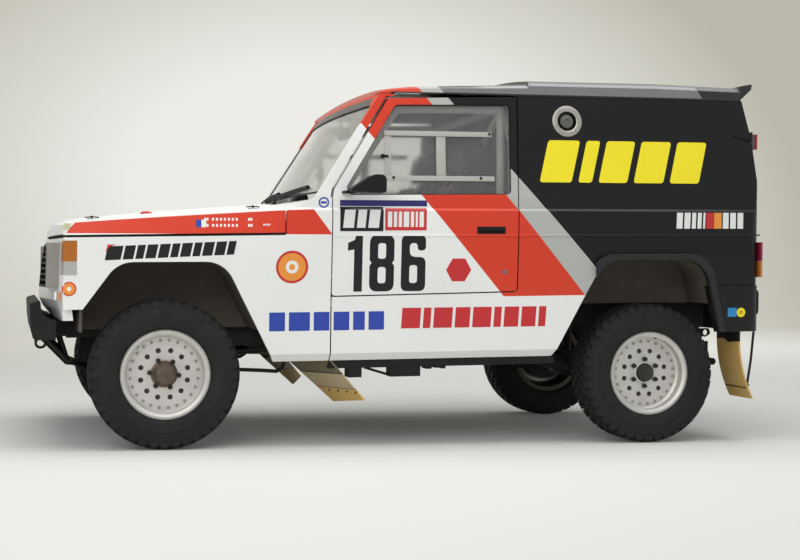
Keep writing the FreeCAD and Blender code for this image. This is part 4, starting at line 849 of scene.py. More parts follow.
class PatternTree(Graph):
    """A Geometry Nodes tree that repeats the piece it is given."""

    def __init__(self, name: str, material: Material) -> None:
        """Start a tree.

        Args:
            name: The tree's name.
            material: The finish set on its result.
        """
        self.tree = bpy.data.node_groups.new(name, "GeometryNodeTree")
        self.tree.interface.new_socket("Geometry", in_out="INPUT", socket_type="NodeSocketGeometry")
        self.tree.interface.new_socket("Geometry", in_out="OUTPUT", socket_type="NodeSocketGeometry")
        self.source = self.node("NodeGroupInput")
        self.material = material
        self.sockets: dict[str, str] = {}

    def size(self, name: str, kind: str = "NodeSocketFloat") -> Socket:
        """Add a named input and give its socket inside the tree."""
        item = self.tree.interface.new_socket(name, in_out="INPUT", socket_type=kind)
        self.sockets[name] = item.identifier
        return next(out for out in self.source.outputs if out.identifier == item.identifier)

    def close(self, instances: Socket) -> "PatternTree":
        """Realise the instances, set their finish and end the tree."""
        real = self.node("GeometryNodeRealizeInstances", {0: instances})
        painted = self.node("GeometryNodeSetMaterial", {"Geometry": real.outputs[0], "Material": self.material})
        self.node("NodeGroupOutput", {0: painted.outputs[0]})
        return self

    def bake(self, unit: Mesh, **sizes: object) -> Mesh:
        """Run the tree on one unit and keep the result as a plain mesh.

        Args:
            unit: The mesh that is repeated.
            **sizes: Values of the tree's named inputs.

        Returns:
            The baked mesh.
        """
        def prepare(modifier: bpy.types.Modifier) -> None:
            """Give the modifier this tree and its sizes."""
            modifier.node_group = self.tree
            for name, value in sizes.items():
                modifier[self.sockets[name]] = value

        return modified(unit, "NODES", prepare)


def ring_pattern(material: Material) -> PatternTree:
    """Give the tree that sets Count units on a circle of Radius about Z, turned by Phase."""
    made = PatternTree("ring_" + material.name, material)
    count, radius, phase = made.size("Count", "NodeSocketInt"), made.size("Radius"), made.size("Phase")
    circle = made.node("GeometryNodeMeshCircle", {"Vertices": count, "Radius": radius}, fill_type="NONE")
    index = made.node("GeometryNodeInputIndex")
    step = made.node("ShaderNodeMath", {0: 2 * math.pi, 1: count}, operation="DIVIDE")
    turn = made.node("ShaderNodeMath", {0: index.outputs[0], 1: step.outputs[0]}, operation="MULTIPLY")
    angle = made.node("ShaderNodeCombineXYZ", {"Z": turn.outputs[0]})
    placed = made.node("GeometryNodeInstanceOnPoints", {"Points": circle.outputs[0],
                                                        "Instance": made.source.outputs[0],
                                                        "Rotation": angle.outputs[0]})
    offset = made.node("ShaderNodeCombineXYZ", {"Z": phase})
    whole = made.node("GeometryNodeRealizeInstances", {0: placed.outputs[0]})
    spun = made.node("GeometryNodeTransform", {"Geometry": whole.outputs[0], "Rotation": offset.outputs[0]})
    return made.close(spun.outputs[0])


def row_pattern(material: Material) -> PatternTree:
    """Give the tree that sets Count units in a row, each a Step from the last."""
    made = PatternTree("row_" + material.name, material)
    count, step = made.size("Count", "NodeSocketInt"), made.size("Step", "NodeSocketVector")
    line = made.node("GeometryNodeMeshLine", {"Count": count, "Offset": step})
    placed = made.node("GeometryNodeInstanceOnPoints", {"Points": line.outputs[0],
                                                        "Instance": made.source.outputs[0]})
    return made.close(placed.outputs[0])


class Workshop:
    """Sets finished meshes down as pieces on their CAD bodies."""

    def __init__(self, palette: Palette) -> None:
        """Keep the finishes.

        Args:
            palette: The car's finishes.
        """
        self.palette = palette

    def set_down(self, mesh: Mesh, finish: str, body: str, slot: str = "",
                 stands_for: Sequence[str] = ()) -> bpy.types.Object:
        """Make a piece of a mesh.

        Args:
            mesh: The mesh, in the car's frame.
            finish: The finish's name.
            body: The CAD body it rides on.
            slot: Not used.
            stands_for: CAD nodes that the piece replaces.

        Returns:
            The piece.
        """
        mesh.materials.clear()
        mesh.materials.append(self.palette[finish])
        piece = put(mesh.name, mesh)
        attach(piece, body)
        if stands_for:
            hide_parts(*stands_for)
        LOG.info("%s: %d faces on %s", piece.name, len(mesh.polygons), body)
        return piece

    def dress(self, node: str, finish: str) -> None:
        """Give a CAD node a finish."""
        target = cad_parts[node]
        target.data.materials.clear()
        target.data.materials.append(self.palette[finish])


def joined(name: str, meshes: Sequence[Mesh], smooth: float = 35.0) -> Mesh:
    """Join meshes into one.

    Args:
        name: The result's name.
        meshes: The meshes, which are used up.
        smooth: Angle in degrees up to which faces shade as one.

    Returns:
        The joined mesh.
    """
    bm = bmesh.new()
    for mesh in meshes:
        bm.from_mesh(mesh)
        bpy.data.meshes.remove(mesh)
    return closed(bm, name, smooth)


# Body

# The CAD nodes of each finish; SIDE stands for left and right.
FINISH_NODES = {
    "chassis_black": ("frame", "front_axle", "rear_axle"), "cast_iron": ("engine_block", "driveline", "knuckle_SIDE"),
    "spring_steel": ("rear_springs",), "exhaust_steel": ("exhaust",), "tank_alloy": ("fuel_tank",),
    "cabin_white": ("floor_pan",), "liner_black": ("arch_liners",), "paint_white": ("scuttle", "front_panel"),
    "paint_livery": ("body_sides", "door_SIDE"), "paint_wing": ("front_wings",), "paint_roof": ("roof",),
    "paint_frame": ("windscreen_frame",), "paint_bonnet": ("bonnet",), "paint_black": ("rear_bumper", "tailgate"),
    "grille_black": ("grille",), "lamp_lens": ("lamps",), "window_glass": ("windscreen", "tailgate_glass"),
    "pane_plastic": ("door_glass_SIDE",), "flare_black": ("arch_flares",), "flap_tan": ("mud_flaps",),
    "trim_black": ("bull_bar", "door_fittings_SIDE"), "tube_white": ("roll_cage",), "shell_black": ("seats",),
    "dash_black": ("dashboard",), "wheel_suede": ("steering_wheel",),
    "wheel_alloy": ("rim_front_SIDE", "rim_rear_SIDE"), "tyre_rubber": ("tyre_front_SIDE", "tyre_rear_SIDE"),
}


def half_width(height: float) -> float:
    """Give the body's half width in millimetres at a level height."""
    for (low, narrow), (high, wide) in zip(BODY_SECTION, BODY_SECTION[1:]):
        if height <= high:
            share = max(0.0, (height - low) / (high - low))
            return narrow + share * (wide - narrow)
    return BODY_SECTION[-1][1]


def on_side(x: float, height: float, lift: float, side: Side) -> Vector:
    """Give a point on the body's side, lifted off the paint by a few tenths of a millimetre."""
    return level(x, side.value * (half_width(height) + lift), height)


class Skin:
    """Finds the outside of a CAD node, so that what is laid on it touches it."""

    trees: dict[str, BVHTree] = {}

    @classmethod
    def touch(cls, node: str, place: Vector, run: Vector) -> Vector:
        """Follow a run from a place outside a node to the node's surface.

        Args:
            node: The CAD node.
            place: A point level with the wanted one.
            run: Direction towards the surface.

        Returns:
            The point on the surface, or the place itself where the run misses.
        """
        if node not in cls.trees:
            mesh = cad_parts[node].data
            cls.trees[node] = BVHTree.FromPolygons([vertex.co for vertex in mesh.vertices],
                                                   [tuple(face.vertices) for face in mesh.polygons])
        found = cls.trees[node].ray_cast(place, run)[0]
        return found if found is not None else place


# Starts of the runs onto the body, and how far off its section a run has missed, in millimetres.
CLEAR_OF_SIDE = 60
BESIDE_BODY = 900
OVER_BODY = 1200
BEYOND_END = 1900
MISSED_BY = 20


def side_plate(name: str, node: str, outlines: Sequence[Outline], side: Side, lift: float = 0.5,
               sunk: float = -0.3) -> Mesh:
    """Make a thin plate that lies on the body's side.

    Args:
        name: The plate's name.
        node: The CAD node that carries it.
        outlines: The (x, level height) outline in millimetres, then the outlines of its holes.
        side: Side of the car.
        lift: Height of its face over the paint.
        sunk: Height of its back.

    Returns:
        The plate's mesh.
    """
    loops = [[Vector((x, z, 0.0)) for x, z in outline] for outline in outlines]
    form = Form()
    corners = form.ring(point for loop in loops for point in loop)
    for triangle in tessellate_polygon(loops):
        form.bm.faces.new([corners[index] for index in triangle])
    for height, _ in BODY_SECTION:
        parts = form.bm.verts[:] + form.bm.edges[:] + form.bm.faces[:]
        bmesh.ops.bisect_plane(form.bm, geom=parts, plane_co=(0, height, 0), plane_no=(0, 1, 0), dist=0.01)
    copied = bmesh.ops.extrude_face_region(form.bm, geom=form.bm.faces[:], use_keep_orig=True)["geom"]
    face = {item for item in copied if isinstance(item, bmesh.types.BMVert)}
    for vertex in form.bm.verts:
        x, z = vertex.co.x, vertex.co.y
        ground = Skin.touch(node, on_side(x, z, CLEAR_OF_SIDE, side), -side.outward)
        if abs(abs(ground.y) / MM - half_width(z)) > MISSED_BY:
            ground = on_side(x, z, 0, side)
        vertex.co = ground + side.outward * ((lift if vertex in face else sunk) * MM)
    return form.mesh(name, 20.0)


def disc(x: float, height: float, radius: float, count: int = 40) -> tuple[Point2, ...]:
    """Give a round field."""
    turns = [2 * math.pi * step / count for step in range(count)]
    return tuple((x + radius * math.cos(turn), height + radius * math.sin(turn)) for turn in turns)


def rounded(corners: Outline, radius: float, steps: int = 5) -> tuple[Point2, ...]:
    """Round the corners of an outline.

    Args:
        corners: The outline.
        radius: Reach of each rounding along the edges.
        steps: Points of each rounding.

    Returns:
        The rounded outline.
    """
    points = []
    count = len(corners)
    for index, corner in enumerate(corners):
        middle = Vector(corner)
        before, after = Vector(corners[index - 1]) - middle, Vector(corners[(index + 1) % count]) - middle
        reach = min(radius, before.length * 0.49, after.length * 0.49)
        start, end = middle + before.normalized() * reach, middle + after.normalized() * reach
        for step in range(steps + 1):
            share = step / steps
            point = start * (1 - share) ** 2 + middle * (2 * share * (1 - share)) + end * share ** 2
            points.append((point.x, point.y))
    return tuple(points)


def solid(*outlines: Outline) -> list[tuple[Outline]]:
    """Give fields without holes, one for each outline."""
    return [(outline,) for outline in outlines]


def blocks(start: Point2, end: Point2, widths: Sequence[float], high: float, gap: float,
           lean: float = 0.0) -> list[tuple[Point2, ...]]:
    """Give a row of upright or leaning blocks on a line, of the given relative widths.

    Args:
        start: Foot of the row's first end.
        end: Foot of its other end.
        widths: Relative widths of the blocks.
        high: Their height.
        gap: Space between them.
        lean: Lean of their ends.

    Returns:
        One outline for each block.
    """
    length = end[0] - start[0] - gap * (len(widths) - 1)
    slope = (end[1] - start[1]) / (end[0] - start[0])
    made, x = [], start[0]
    for width in widths:
        wide = length * width / sum(widths)
        low, rise = start[1] + slope * (x - start[0]), slope * wide
        made.append(((x, low), (x + wide, low + rise), (x + wide + lean * high, low + rise + high),
                     (x + lean * high, low + high)))
        x += wide + gap
    return made


# Outlines of the digits, 263 mm tall, with their holes.
DIGITS: dict[str, tuple[float, tuple[tuple[Point2, ...], ...]]] = {
    "1": (70.0, (((30, 0), (70, 0), (70, 263), (38, 263), (32, 240), (0, 226), (0, 190), (30, 196)),)),
    "8": (118.0, (rounded(((0, 0), (118, 0), (118, 122), (106, 133), (118, 144), (118, 263), (0, 263), (0, 144),
                           (12, 133), (0, 122)), 38.0),
                  rounded(((40, 38), (78, 38), (78, 114), (40, 114)), 14.0),
                  rounded(((40, 152), (78, 152), (78, 225), (40, 225)), 14.0))),
    "6": (118.0, (rounded(((0, 0), (118, 0), (118, 160), (40, 160), (40, 225), (78, 225), (78, 190), (118, 190),
                           (118, 263), (0, 263)), 30.0),
                  rounded(((40, 38), (78, 38), (78, 122), (40, 122)), 14.0))),
}


@dataclass
class Sticker:
    """Plain fields of vinyl of one colour on one CAD node."""

    name: str
    finish: str
    node: str
    fields: Sequence[Sequence[Outline]]
    lift: float = 0.5

    def build(self, workshop: Workshop, side: Side) -> None:
        """Lay the vinyl on one side."""
        node = self.node.replace("SIDE", side.tag)
        plates = [side_plate("field", node, outlines, side, self.lift) for outlines in self.fields]
        body = node if node.startswith("door") or node == "bonnet" else "root"
        workshop.set_down(joined("%s_%s" % (self.name, side.tag), plates, 20.0), self.finish, body, "body_livery")


@dataclass
class Section:
    """A part of the car's looks, with the workshop that sets its pieces down."""

    workshop: Workshop

    def set_down(self, mesh: Mesh, finish: str, body: str = "root", slot: str = "",
                 stands_for: Sequence[str] = ()) -> bpy.types.Object:
        """Make a piece of a mesh as the workshop does, on the root body where none is named."""
        return self.workshop.set_down(mesh, finish, body, slot, stands_for)


@dataclass
class Livery(Section):
    """Paint on every CAD node, plain vinyl fields and the start number."""

    number: str = "186"
    number_foot: Point2 = (-347.0, 730.0)
    number_gap: float = 34.0
    rib_height: float = 992.0
    rib_steps: int = 12

    def wing_fields(self) -> list[Sticker]:
        """Give the fields ahead of the door."""
        wing, bonnet = "front_wings", "bonnet"
        dashes = [slanted(x, 9, z, z + 13) for z in (1030, 1058)
                  for x in (-1012, -1001, -976, -958, -940, -922, -904, -886, -868, -812, -801)]
        dashes += [slanted(x, 8, 1036, 1044) for x in (-742, -730, -718)]
        return [
            Sticker("wing_bar", "vinyl_black", wing,
                    solid(*blocks((-1452, 880), (-876, 904), (6, 4, 3, 4, 4, 3, 4, 3, 4, 4, 3), 62, 9, 0.2))),
            Sticker("wing_corner", "vinyl_red", wing,
                    solid(((-1449, 914), (-1432, 940), (-1404, 950), (-1440, 950))), 0.9),
            Sticker("wing_disc_rim", "vinyl_red", wing, [(disc(-607, 846, 75), disc(-607, 846, 64))]),
            Sticker("wing_disc", "vinyl_orange", wing,
                    [(disc(-607, 846, 64), disc(-607, 846, 30, 24)), (disc(-607, 846, 14, 16),)]),
            Sticker("nose_disc_rim", "vinyl_red", wing, [(disc(-1605, 754, 32), disc(-1605, 754, 26))]),
            Sticker("nose_disc", "vinyl_orange", wing, [(disc(-1605, 754, 26), disc(-1605, 754, 10, 16))]),
            Sticker("sill_bar_front", "vinyl_blue", wing,
                    solid(*blocks((-709, 552), (-428, 552), (3, 4, 3), 86, 18))),
            Sticker("bonnet_flag_blue", "vinyl_blue", bonnet, solid(slanted(-1048, 24, 1028, 1062))),
            Sticker("bonnet_flag_white", "vinyl_white", bonnet, solid(slanted(-1024, 22, 1028, 1062))),
            Sticker("bonnet_dashes", "vinyl_white", bonnet, solid(*dashes)),
            Sticker("pillar_spot", "vinyl_blue", wing,
                    [(disc(-462, 1143, 25, 24), disc(-462, 1143, 18, 20)), (slanted(-476, 28, 1138, 1148),)]),
            Sticker("bonnet_square", "vinyl_cream", bonnet, solid(slanted(-1640, 34, 1016, 1044, 0.3))),
        ]

    def door_fields(self) -> list[Sticker]:
        """Give the fields on the door."""
        door = "door_SIDE"
        words = blocks((-372, 1026), (-202, 1026), (5, 4, 5), 84, 14, 0.1) + [slanted(-176, 208, 1010, 1124)]
        dashes = blocks((-160, 1030), (14, 1030), (4, 3, 3, 5, 3, 2, 4), 72, 8)
        return [
            Sticker("door_board_header", "vinyl_navy", door, solid(slanted(-386, 418, 1127, 1155))),
            Sticker("door_board_dark", "vinyl_black", door, solid(slanted(-386, 206, 1010, 1124))),
            Sticker("door_board_light", "vinyl_white", door, solid(*words), 0.9),
            Sticker("door_board_red", "vinyl_red", door, solid(slanted(-172, 200, 1014, 1118)), 1.2),
            Sticker("door_board_dashes", "vinyl_white", door, solid(*dashes), 1.5),
            Sticker("door_mark", "vinyl_red", door, solid(disc(190, 828, 62, 6))),
            Sticker("door_lock", "lock_grey", door, solid(disc(418, 817, 11, 24)), 2.5),
        ]

    def quarter_fields(self) -> list[Sticker]:
        """Give the fields behind the door, and on the sill."""
        side, bumper = "body_sides", "rear_bumper"
        yellow = blocks((592, 1246), (1422, 1246), (23, 10, 21, 22, 22), 204, 34, 0.24)
        white = blocks((1298, 1024), (1450, 1024), (3, 3, 2, 2, 1), 78, 9, 0.03)
        white += blocks((1546, 1024), (1656, 1024), (3, 3, 3), 78, 9)
        return [
            Sticker("sill_bar_mid", "vinyl_blue", side,
                    solid(*blocks((-408, 552), (-168, 552), (4, 3, 4), 86, 18))),
            Sticker("sill_bar_red", "vinyl_red", side,
                    solid(*blocks((-86, 556), (628, 556), (5, 2, 5, 4, 5, 2, 4, 4, 2), 96, 14, 0.06))),
            Sticker("quarter_blocks", "vinyl_yellow", side, solid(*(rounded(block, 16) for block in yellow))),
            Sticker("rear_bars_white", "vinyl_white", side, solid(*white)),
            Sticker("rear_bar_red", "vinyl_red", side, solid(slanted(1457, 40, 1024, 1102))),
            Sticker("rear_bar_orange", "vinyl_orange", side, solid(slanted(1499, 40, 1024, 1102))),
            Sticker("bumper_mark", "vinyl_sky", bumper, solid(slanted(1580, 48, 588, 632))),
            Sticker("bumper_disc", "vinyl_yellow", bumper,
                    [(disc(1652, 609, 23), disc(1652, 609, 9, 16)), (disc(1652, 609, 5, 12),)]),
        ]

    def digits(self, side: Side) -> Sticker:
        """Give the start number of one side, as it reads from there."""
        x, foot = self.number_foot
        width = sum(DIGITS[digit][0] for digit in self.number) + self.number_gap * (len(self.number) - 1)
        fields, start = [], 0.0
        for digit in self.number:
            wide, outlines = DIGITS[digit]
            fields.append([[(x + start + across if side is Side.LEFT else x + width - start - across, foot + up)
                            for across, up in outline] for outline in outlines])
            start += wide + self.number_gap
        return Sticker("start_number", "vinyl_black", "door_SIDE", fields)

    def build_ribs(self, side: Side) -> None:
        """Make the pressed ribs along the middle crease, in the paint under them."""
        for name, body, start, end in (("quarter", "root", 487, 1748), ("door", "door_" + side.tag, -413, 477)):
            path = [on_side(start + (end - start) * step / self.rib_steps, self.rib_height, 0.4, side)
                    for step in range(self.rib_steps + 1)]
            rib = Form().tube(path, 0.0045, 8, flat=0.55).mesh("crease_rib_%s_%s" % (name, side.tag), 60.0)
            self.set_down(rib, "paint_frame", body, "body_livery")

    def build(self) -> None:
        """Paint the CAD nodes and lay the vinyl."""
        for finish, nodes in FINISH_NODES.items():
            for node, side in product(nodes, Side):
                self.workshop.dress(node.replace("SIDE", side.tag), finish)
        for side in Side:
            self.build_ribs(side)
        for side in Side:
            for sticker in self.wing_fields() + self.door_fields() + self.quarter_fields() + [self.digits(side)]:
                sticker.build(self.workshop, side)


# Glass and openings

@dataclass
class Glazing(Section):
    """Seals of the glass, the sliding panes, the wipers and the inside mirror."""

    screen_foot: Point2 = (-475.0, 1192.0)
    screen_head: Point2 = (-217.0, 1603.0)
    bow: float = 44.0
    seal: float = 4.5
    pane_depth: float = 15.0
    blade_rise: float = 30.0
    window: tuple[Point2, ...] = ((-340.0, 1178.0), (450.0, 1186.0), (450.0, 1618.0), (-118.0, 1606.0),
                                  (-356.0, 1214.0))

    def on_screen(self, across: float, height: float, ahead: float = 0.0) -> Vector:
        """Give a point on the windscreen's outer face.

        Args:
            across: Place across the car, from -1 at the left edge to 1 at the right.
            height: Level height in millimetres.
            ahead: Distance in front of the glass.

        Returns:
            The point.
        """
        share = (height - self.screen_foot[1]) / (self.screen_head[1] - self.screen_foot[1])
        x = self.screen_foot[0] + share * (self.screen_head[0] - self.screen_foot[0])
        return level(x - self.bow * (1 - across * across) - ahead, across * (half_width(height) - 46), height)

    def build_screen(self) -> None:
        """Make the windscreen's seal."""
        low, high = self.screen_foot[1] + 2, self.screen_head[1] - 2
        steps = [step / 16 - 1 for step in range(33)]
        loop = [self.on_screen(across, low) for across in steps]
        loop += [self.on_screen(1.0, low + (high - low) * step / 8) for step in range(1, 8)]
        loop += [self.on_screen(across, high) for across in reversed(steps)]
        loop += [self.on_screen(-1.0, high - (high - low) * step / 8) for step in range(1, 8)]
        seal = Form().tube(loop, self.seal * MM, 8, ring=True).mesh("windscreen_seal", 60.0)
        self.set_down(seal, "seal_rubber", "root", "black_trim")

    def build_door_glass(self, side: Side) -> None:
        """Make a door window's seal and its sliding pane."""
        body = "door_" + side.tag
        loop = [on_side(x, z, -self.pane_depth, side) for x, z in rounded(self.window, 22.0)]
        seal = Form().tube(loop, 0.0038, 8, ring=True).mesh("window_seal_" + side.tag, 60.0)
        self.set_down(seal, "seal_rubber", body, "black_trim")
        rails, bars = -6.5, -9.5
        meshes = []
        for x, width, low, high, face in ((-170, 526, 1460, 1484, rails), (-170, 538, 1248, 1272, rails),
                                          (-170, 32, 1273, 1459, bars), (82, 46, 1273, 1459, bars)):
            rings = [[on_side(*point, depth, side) for point in slanted(x, width, low, high)]
                     for depth in (0.5 - self.pane_depth, face)]
            meshes.append(Form().loft(rings).bevel(0.0012).mesh("bar"))
        self.set_down(joined("sliding_pane_" + side.tag, meshes), "slider_plastic", body, "clear_glass")
        latch = turned("pin", [(0, 0), (0, 10), (8, 10), (10, 7), (10, 0)],
                       on_side(-178, 1363, -self.pane_depth, side), side.outward, 20)
        knob = Form().loft([[on_side(x, z, depth, side) for x, z in outline] for depth, outline in (
            (-9, ((-176, 1356), (-150, 1356), (-150, 1368), (-176, 1370))),
            (-3, ((-174, 1358), (-152, 1358), (-152, 1366), (-174, 1368))))])
        stops = [turned("stop", [(0, 0), (0, 7), (6, 6), (7, 0)], on_side(x, z, -7.5, side), side.outward, 12)
                 for x, z in ((-128, 1262), (300, 1262), (345, 1474))]
        self.set_down(joined("pane_latch_" + side.tag, [latch, knob.mesh("knob")] + stops), "trim_black", body,
                      "black_trim")

    def build_wipers(self) -> None:
        """Make the two wipers that lie on the foot of the windscreen."""
        pieces = []
        for pivot, tip in (((0.05, 1176), (-0.72, 1226)), ((0.86, 1176), (0.12, 1222))):
            across, foot = pivot[0], pivot[1] + self.blade_rise
            shaft = self.on_screen(across, pivot[1], 16)
            blade = [self.on_screen(across + (tip[0] - across) * share, foot + (tip[1] - foot) * share, 9)
                     for share in (0.05, 0.25, 0.5, 0.75, 1.0)]
            middle = blade[2] + Vector((-0.014, 0, 0))
            arm = [shaft, self.on_screen(across - 0.06, pivot[1] + 26, 26), middle + Vector((0, 0, 0.002))]
            yoke = [blade[1] + FORE * 0.010, middle, blade[3] + FORE * 0.010]
            pieces += [Form().tube(arm, 0.0065, 8, flat=0.8).mesh("arm"),
                       Form().tube(blade, 0.0085, 8, flat=1.5).mesh("blade"), Form().tube(yoke, 0.004, 8).mesh("yoke"),
                       turned("shaft", [(0, 0), (0, 11), (16, 9), (20, 0)], shaft + Vector((0.004, 0, -0.012)),
                              Vector((-0.5, 0, 1)), 16)]
        self.set_down(joined("wipers", pieces), "trim_black", "root", "black_trim")

    def build_mirror(self) -> None:
        """Make the inside mirror on the header."""
        outline = rounded(slanted(-110, 220, -26, 26), 20.0)
        rings = []
        for along, shrink in ((0.0, 0.86), (5.0, 1.0), (14.0, 1.0), (24.0, 0.8), (28.0, 0.4)):
            rings.append([level(-176 - along, y * shrink, 1528 + z * shrink) for y, z in outline])
        head = Form().loft(rings).mesh("head")
        stem = Form().tube([level(-198, 0, 1538), level(-206, 0, 1572), level(-196, 0, 1600)], 0.006, 8).mesh("stem")
        self.set_down(joined("inside_mirror", [head, stem]), "dash_black", "root", "black_trim")

    def build(self) -> None:
        """Build the glazing."""
        self.build_screen()
        for side in Side:
            self.build_door_glass(side)
        self.build_wipers()
        self.build_mirror()


# Nose

@dataclass
class Nose(Section):
    """What sits on and behind the front: lamp bowls and rims, core, side lamps, bonnet seal, edge and catches."""

    lamp_y: float = 638.0
    lamp_z: float = 860.0
    lamp_radius: float = 96.0
    fin_count: int = 30
    fin_step: float = 0.0078
    seal_middle: float = -1.652
    seal_bow: float = 0.083
    seal_half: float = 0.75
    flange_half: float = 0.795
    flange_height: float = 0.988
    flange_front: float = -1.8

    def lamp_centre(self, side: Side) -> Vector:
        """Give the centre of a headlamp's rear face."""
        return level(-1680, side.value * self.lamp_y, self.lamp_z) + AFT * 0.060

    def build_lamps(self) -> None:
        """Make the bowls behind the headlamps, and the rims round them."""
        edge = self.lamp_radius
        bowl = [(1, edge), (1, edge - 4), (12, edge - 14), (26, edge - 40), (32, 18), (32, 0), (35, 0), (35, 20),
                (29, edge - 38), (14, edge - 10), (4, edge)]
        rim = [(-60, edge + 1), (-63, edge - 1), (-63, edge - 8), (-60.2, edge - 9), (-60.2, edge + 1)]
        for side in Side:
            for name, profile, finish in (("bowl", bowl, "reflector"), ("rim", rim, "polished_lip")):
                mesh = turned("lamp_%s_%s" % (name, side.tag), profile, self.lamp_centre(side), AFT, 64)
                self.set_down(mesh, finish)

    def build_core(self) -> None:
        """Make the finned core behind the grille."""
        fin = Form().box(level(-1566, -330, 662), level(-1528, 330, 664)).mesh("fin")
        fins = row_pattern(self.workshop.palette["radiator_alloy"]).bake(
            fin, Count=self.fin_count, Step=(0.0, 0.0, self.fin_step))
        tanks = Form()
        for low, high in ((630, 658), (902, 936)):
            tanks.box(level(-1572, -336, low), level(-1522, 336, high))
        for y in (-336, 326):
            tanks.box(level(-1570, y, 658), level(-1524, y + 10, 902))
        self.set_down(joined("radiator_core", [fins, tanks.mesh("tanks")]), "radiator_alloy")

    def build_side_lamps(self) -> None:
        """Make the small lamps below the corner lamps."""
        for side in Side:
            for name, finish, x, width in (("white", "vinyl_white", -1668, 10), ("amber", "lamp_amber", -1656, 16)):
                rings = [[level(along, side.value * y, z) for along, z in slanted(x, width, 704, 742)]
                         for y in (796, 812)]
                mesh = Form().loft(rings).bevel(0.002).mesh("side_lamp_%s_%s" % (name, side.tag))
                self.set_down(mesh, finish)

    def build_bonnet_seal(self) -> None:
        """Make the rubber strip on the front panel's top, under the bonnet's lip."""
        rings = []
        for step in range(17):
            y = self.seal_half * (step / 8 - 1)
            x = self.seal_middle + self.seal_bow * y * y
            foot = Skin.touch("front_panel", Vector((x, y, OVER_BODY * MM)), DOWN)
            top = max(foot.z + 0.004, 0.972)
            rings.append([Vector((foot.x + ahead, y, z)) for ahead, z in
                          ((-0.009, foot.z - 0.002), (0.009, foot.z - 0.002), (0.006, top), (-0.006, top))])
        self.set_down(Form().loft(rings).mesh("bonnet_seal"), "seal_rubber", "root", "black_trim")

    def build_bonnet_flange(self) -> None:
        """Make the bonnet's turned-down front edge, in the paint of its top."""
        rings = []
        for step in range(33):
            y = self.flange_half * (step / 16 - 1)
            lip = Skin.touch("bonnet", Vector((-BEYOND_END * MM, y, self.flange_height)), AFT).x
            if lip > self.flange_front:
                rings.append([Vector((lip + ahead, y, z)) for ahead, z in
                              ((0.005, 0.994), (-0.0004, 0.994), (-0.005, 0.966), (-0.003, 0.963), (0.001, 0.963))])
        self.set_down(Form().loft(rings).mesh("bonnet_flange"), "paint_white", "bonnet", "body_livery")

    def build_bonnet_pins(self) -> None:
        """Make the bonnet's spring catches, pins and the small blister."""
        pieces, washers = [], []
        for side, x in product(Side, (-1500.0, -760.0)):
            seat = Skin.touch("bonnet", level(x, side.value * 620.0, OVER_BODY), DOWN)
            washers.append(turned("washer", [(-1, 0), (-1, 21), (2.2, 20), (2.4, 0)], seat, UP, 24))
            loop = [seat + Vector(shift) * MM for shift in (
                (-30, 0, 6), (-14, 5, 8), (14, 5, 9), (32, 3, 7), (32, -3, 7), (14, -5, 9), (-14, -5, 8))]
            pieces.append(Form().tube(loop, 0.0026, 6, ring=True).mesh("spring"))
            pieces.append(Form().tube([seat, seat + UP * 0.014], 0.0052, 10).mesh("pin"))
        self.set_down(joined("bonnet_catches", pieces), "trim_black", "bonnet")
        self.set_down(joined("bonnet_washers", washers), "zinc", "bonnet")
        seat = Skin.touch("bonnet", level(-1242, -500, OVER_BODY), DOWN)
        blister = turned("bonnet_blister", [(-2, 0), (-2, 30), (3, 28), (8, 18), (10, 0)], seat, UP, 32)
        self.set_down(blister, "vinyl_red", "bonnet")

    def build(self) -> None:
        """Build the nose."""
        for build in (self.build_lamps, self.build_core, self.build_side_lamps, self.build_bonnet_seal,
                      self.build_bonnet_flange, self.build_bonnet_pins):
            build()


# Tail and flaps

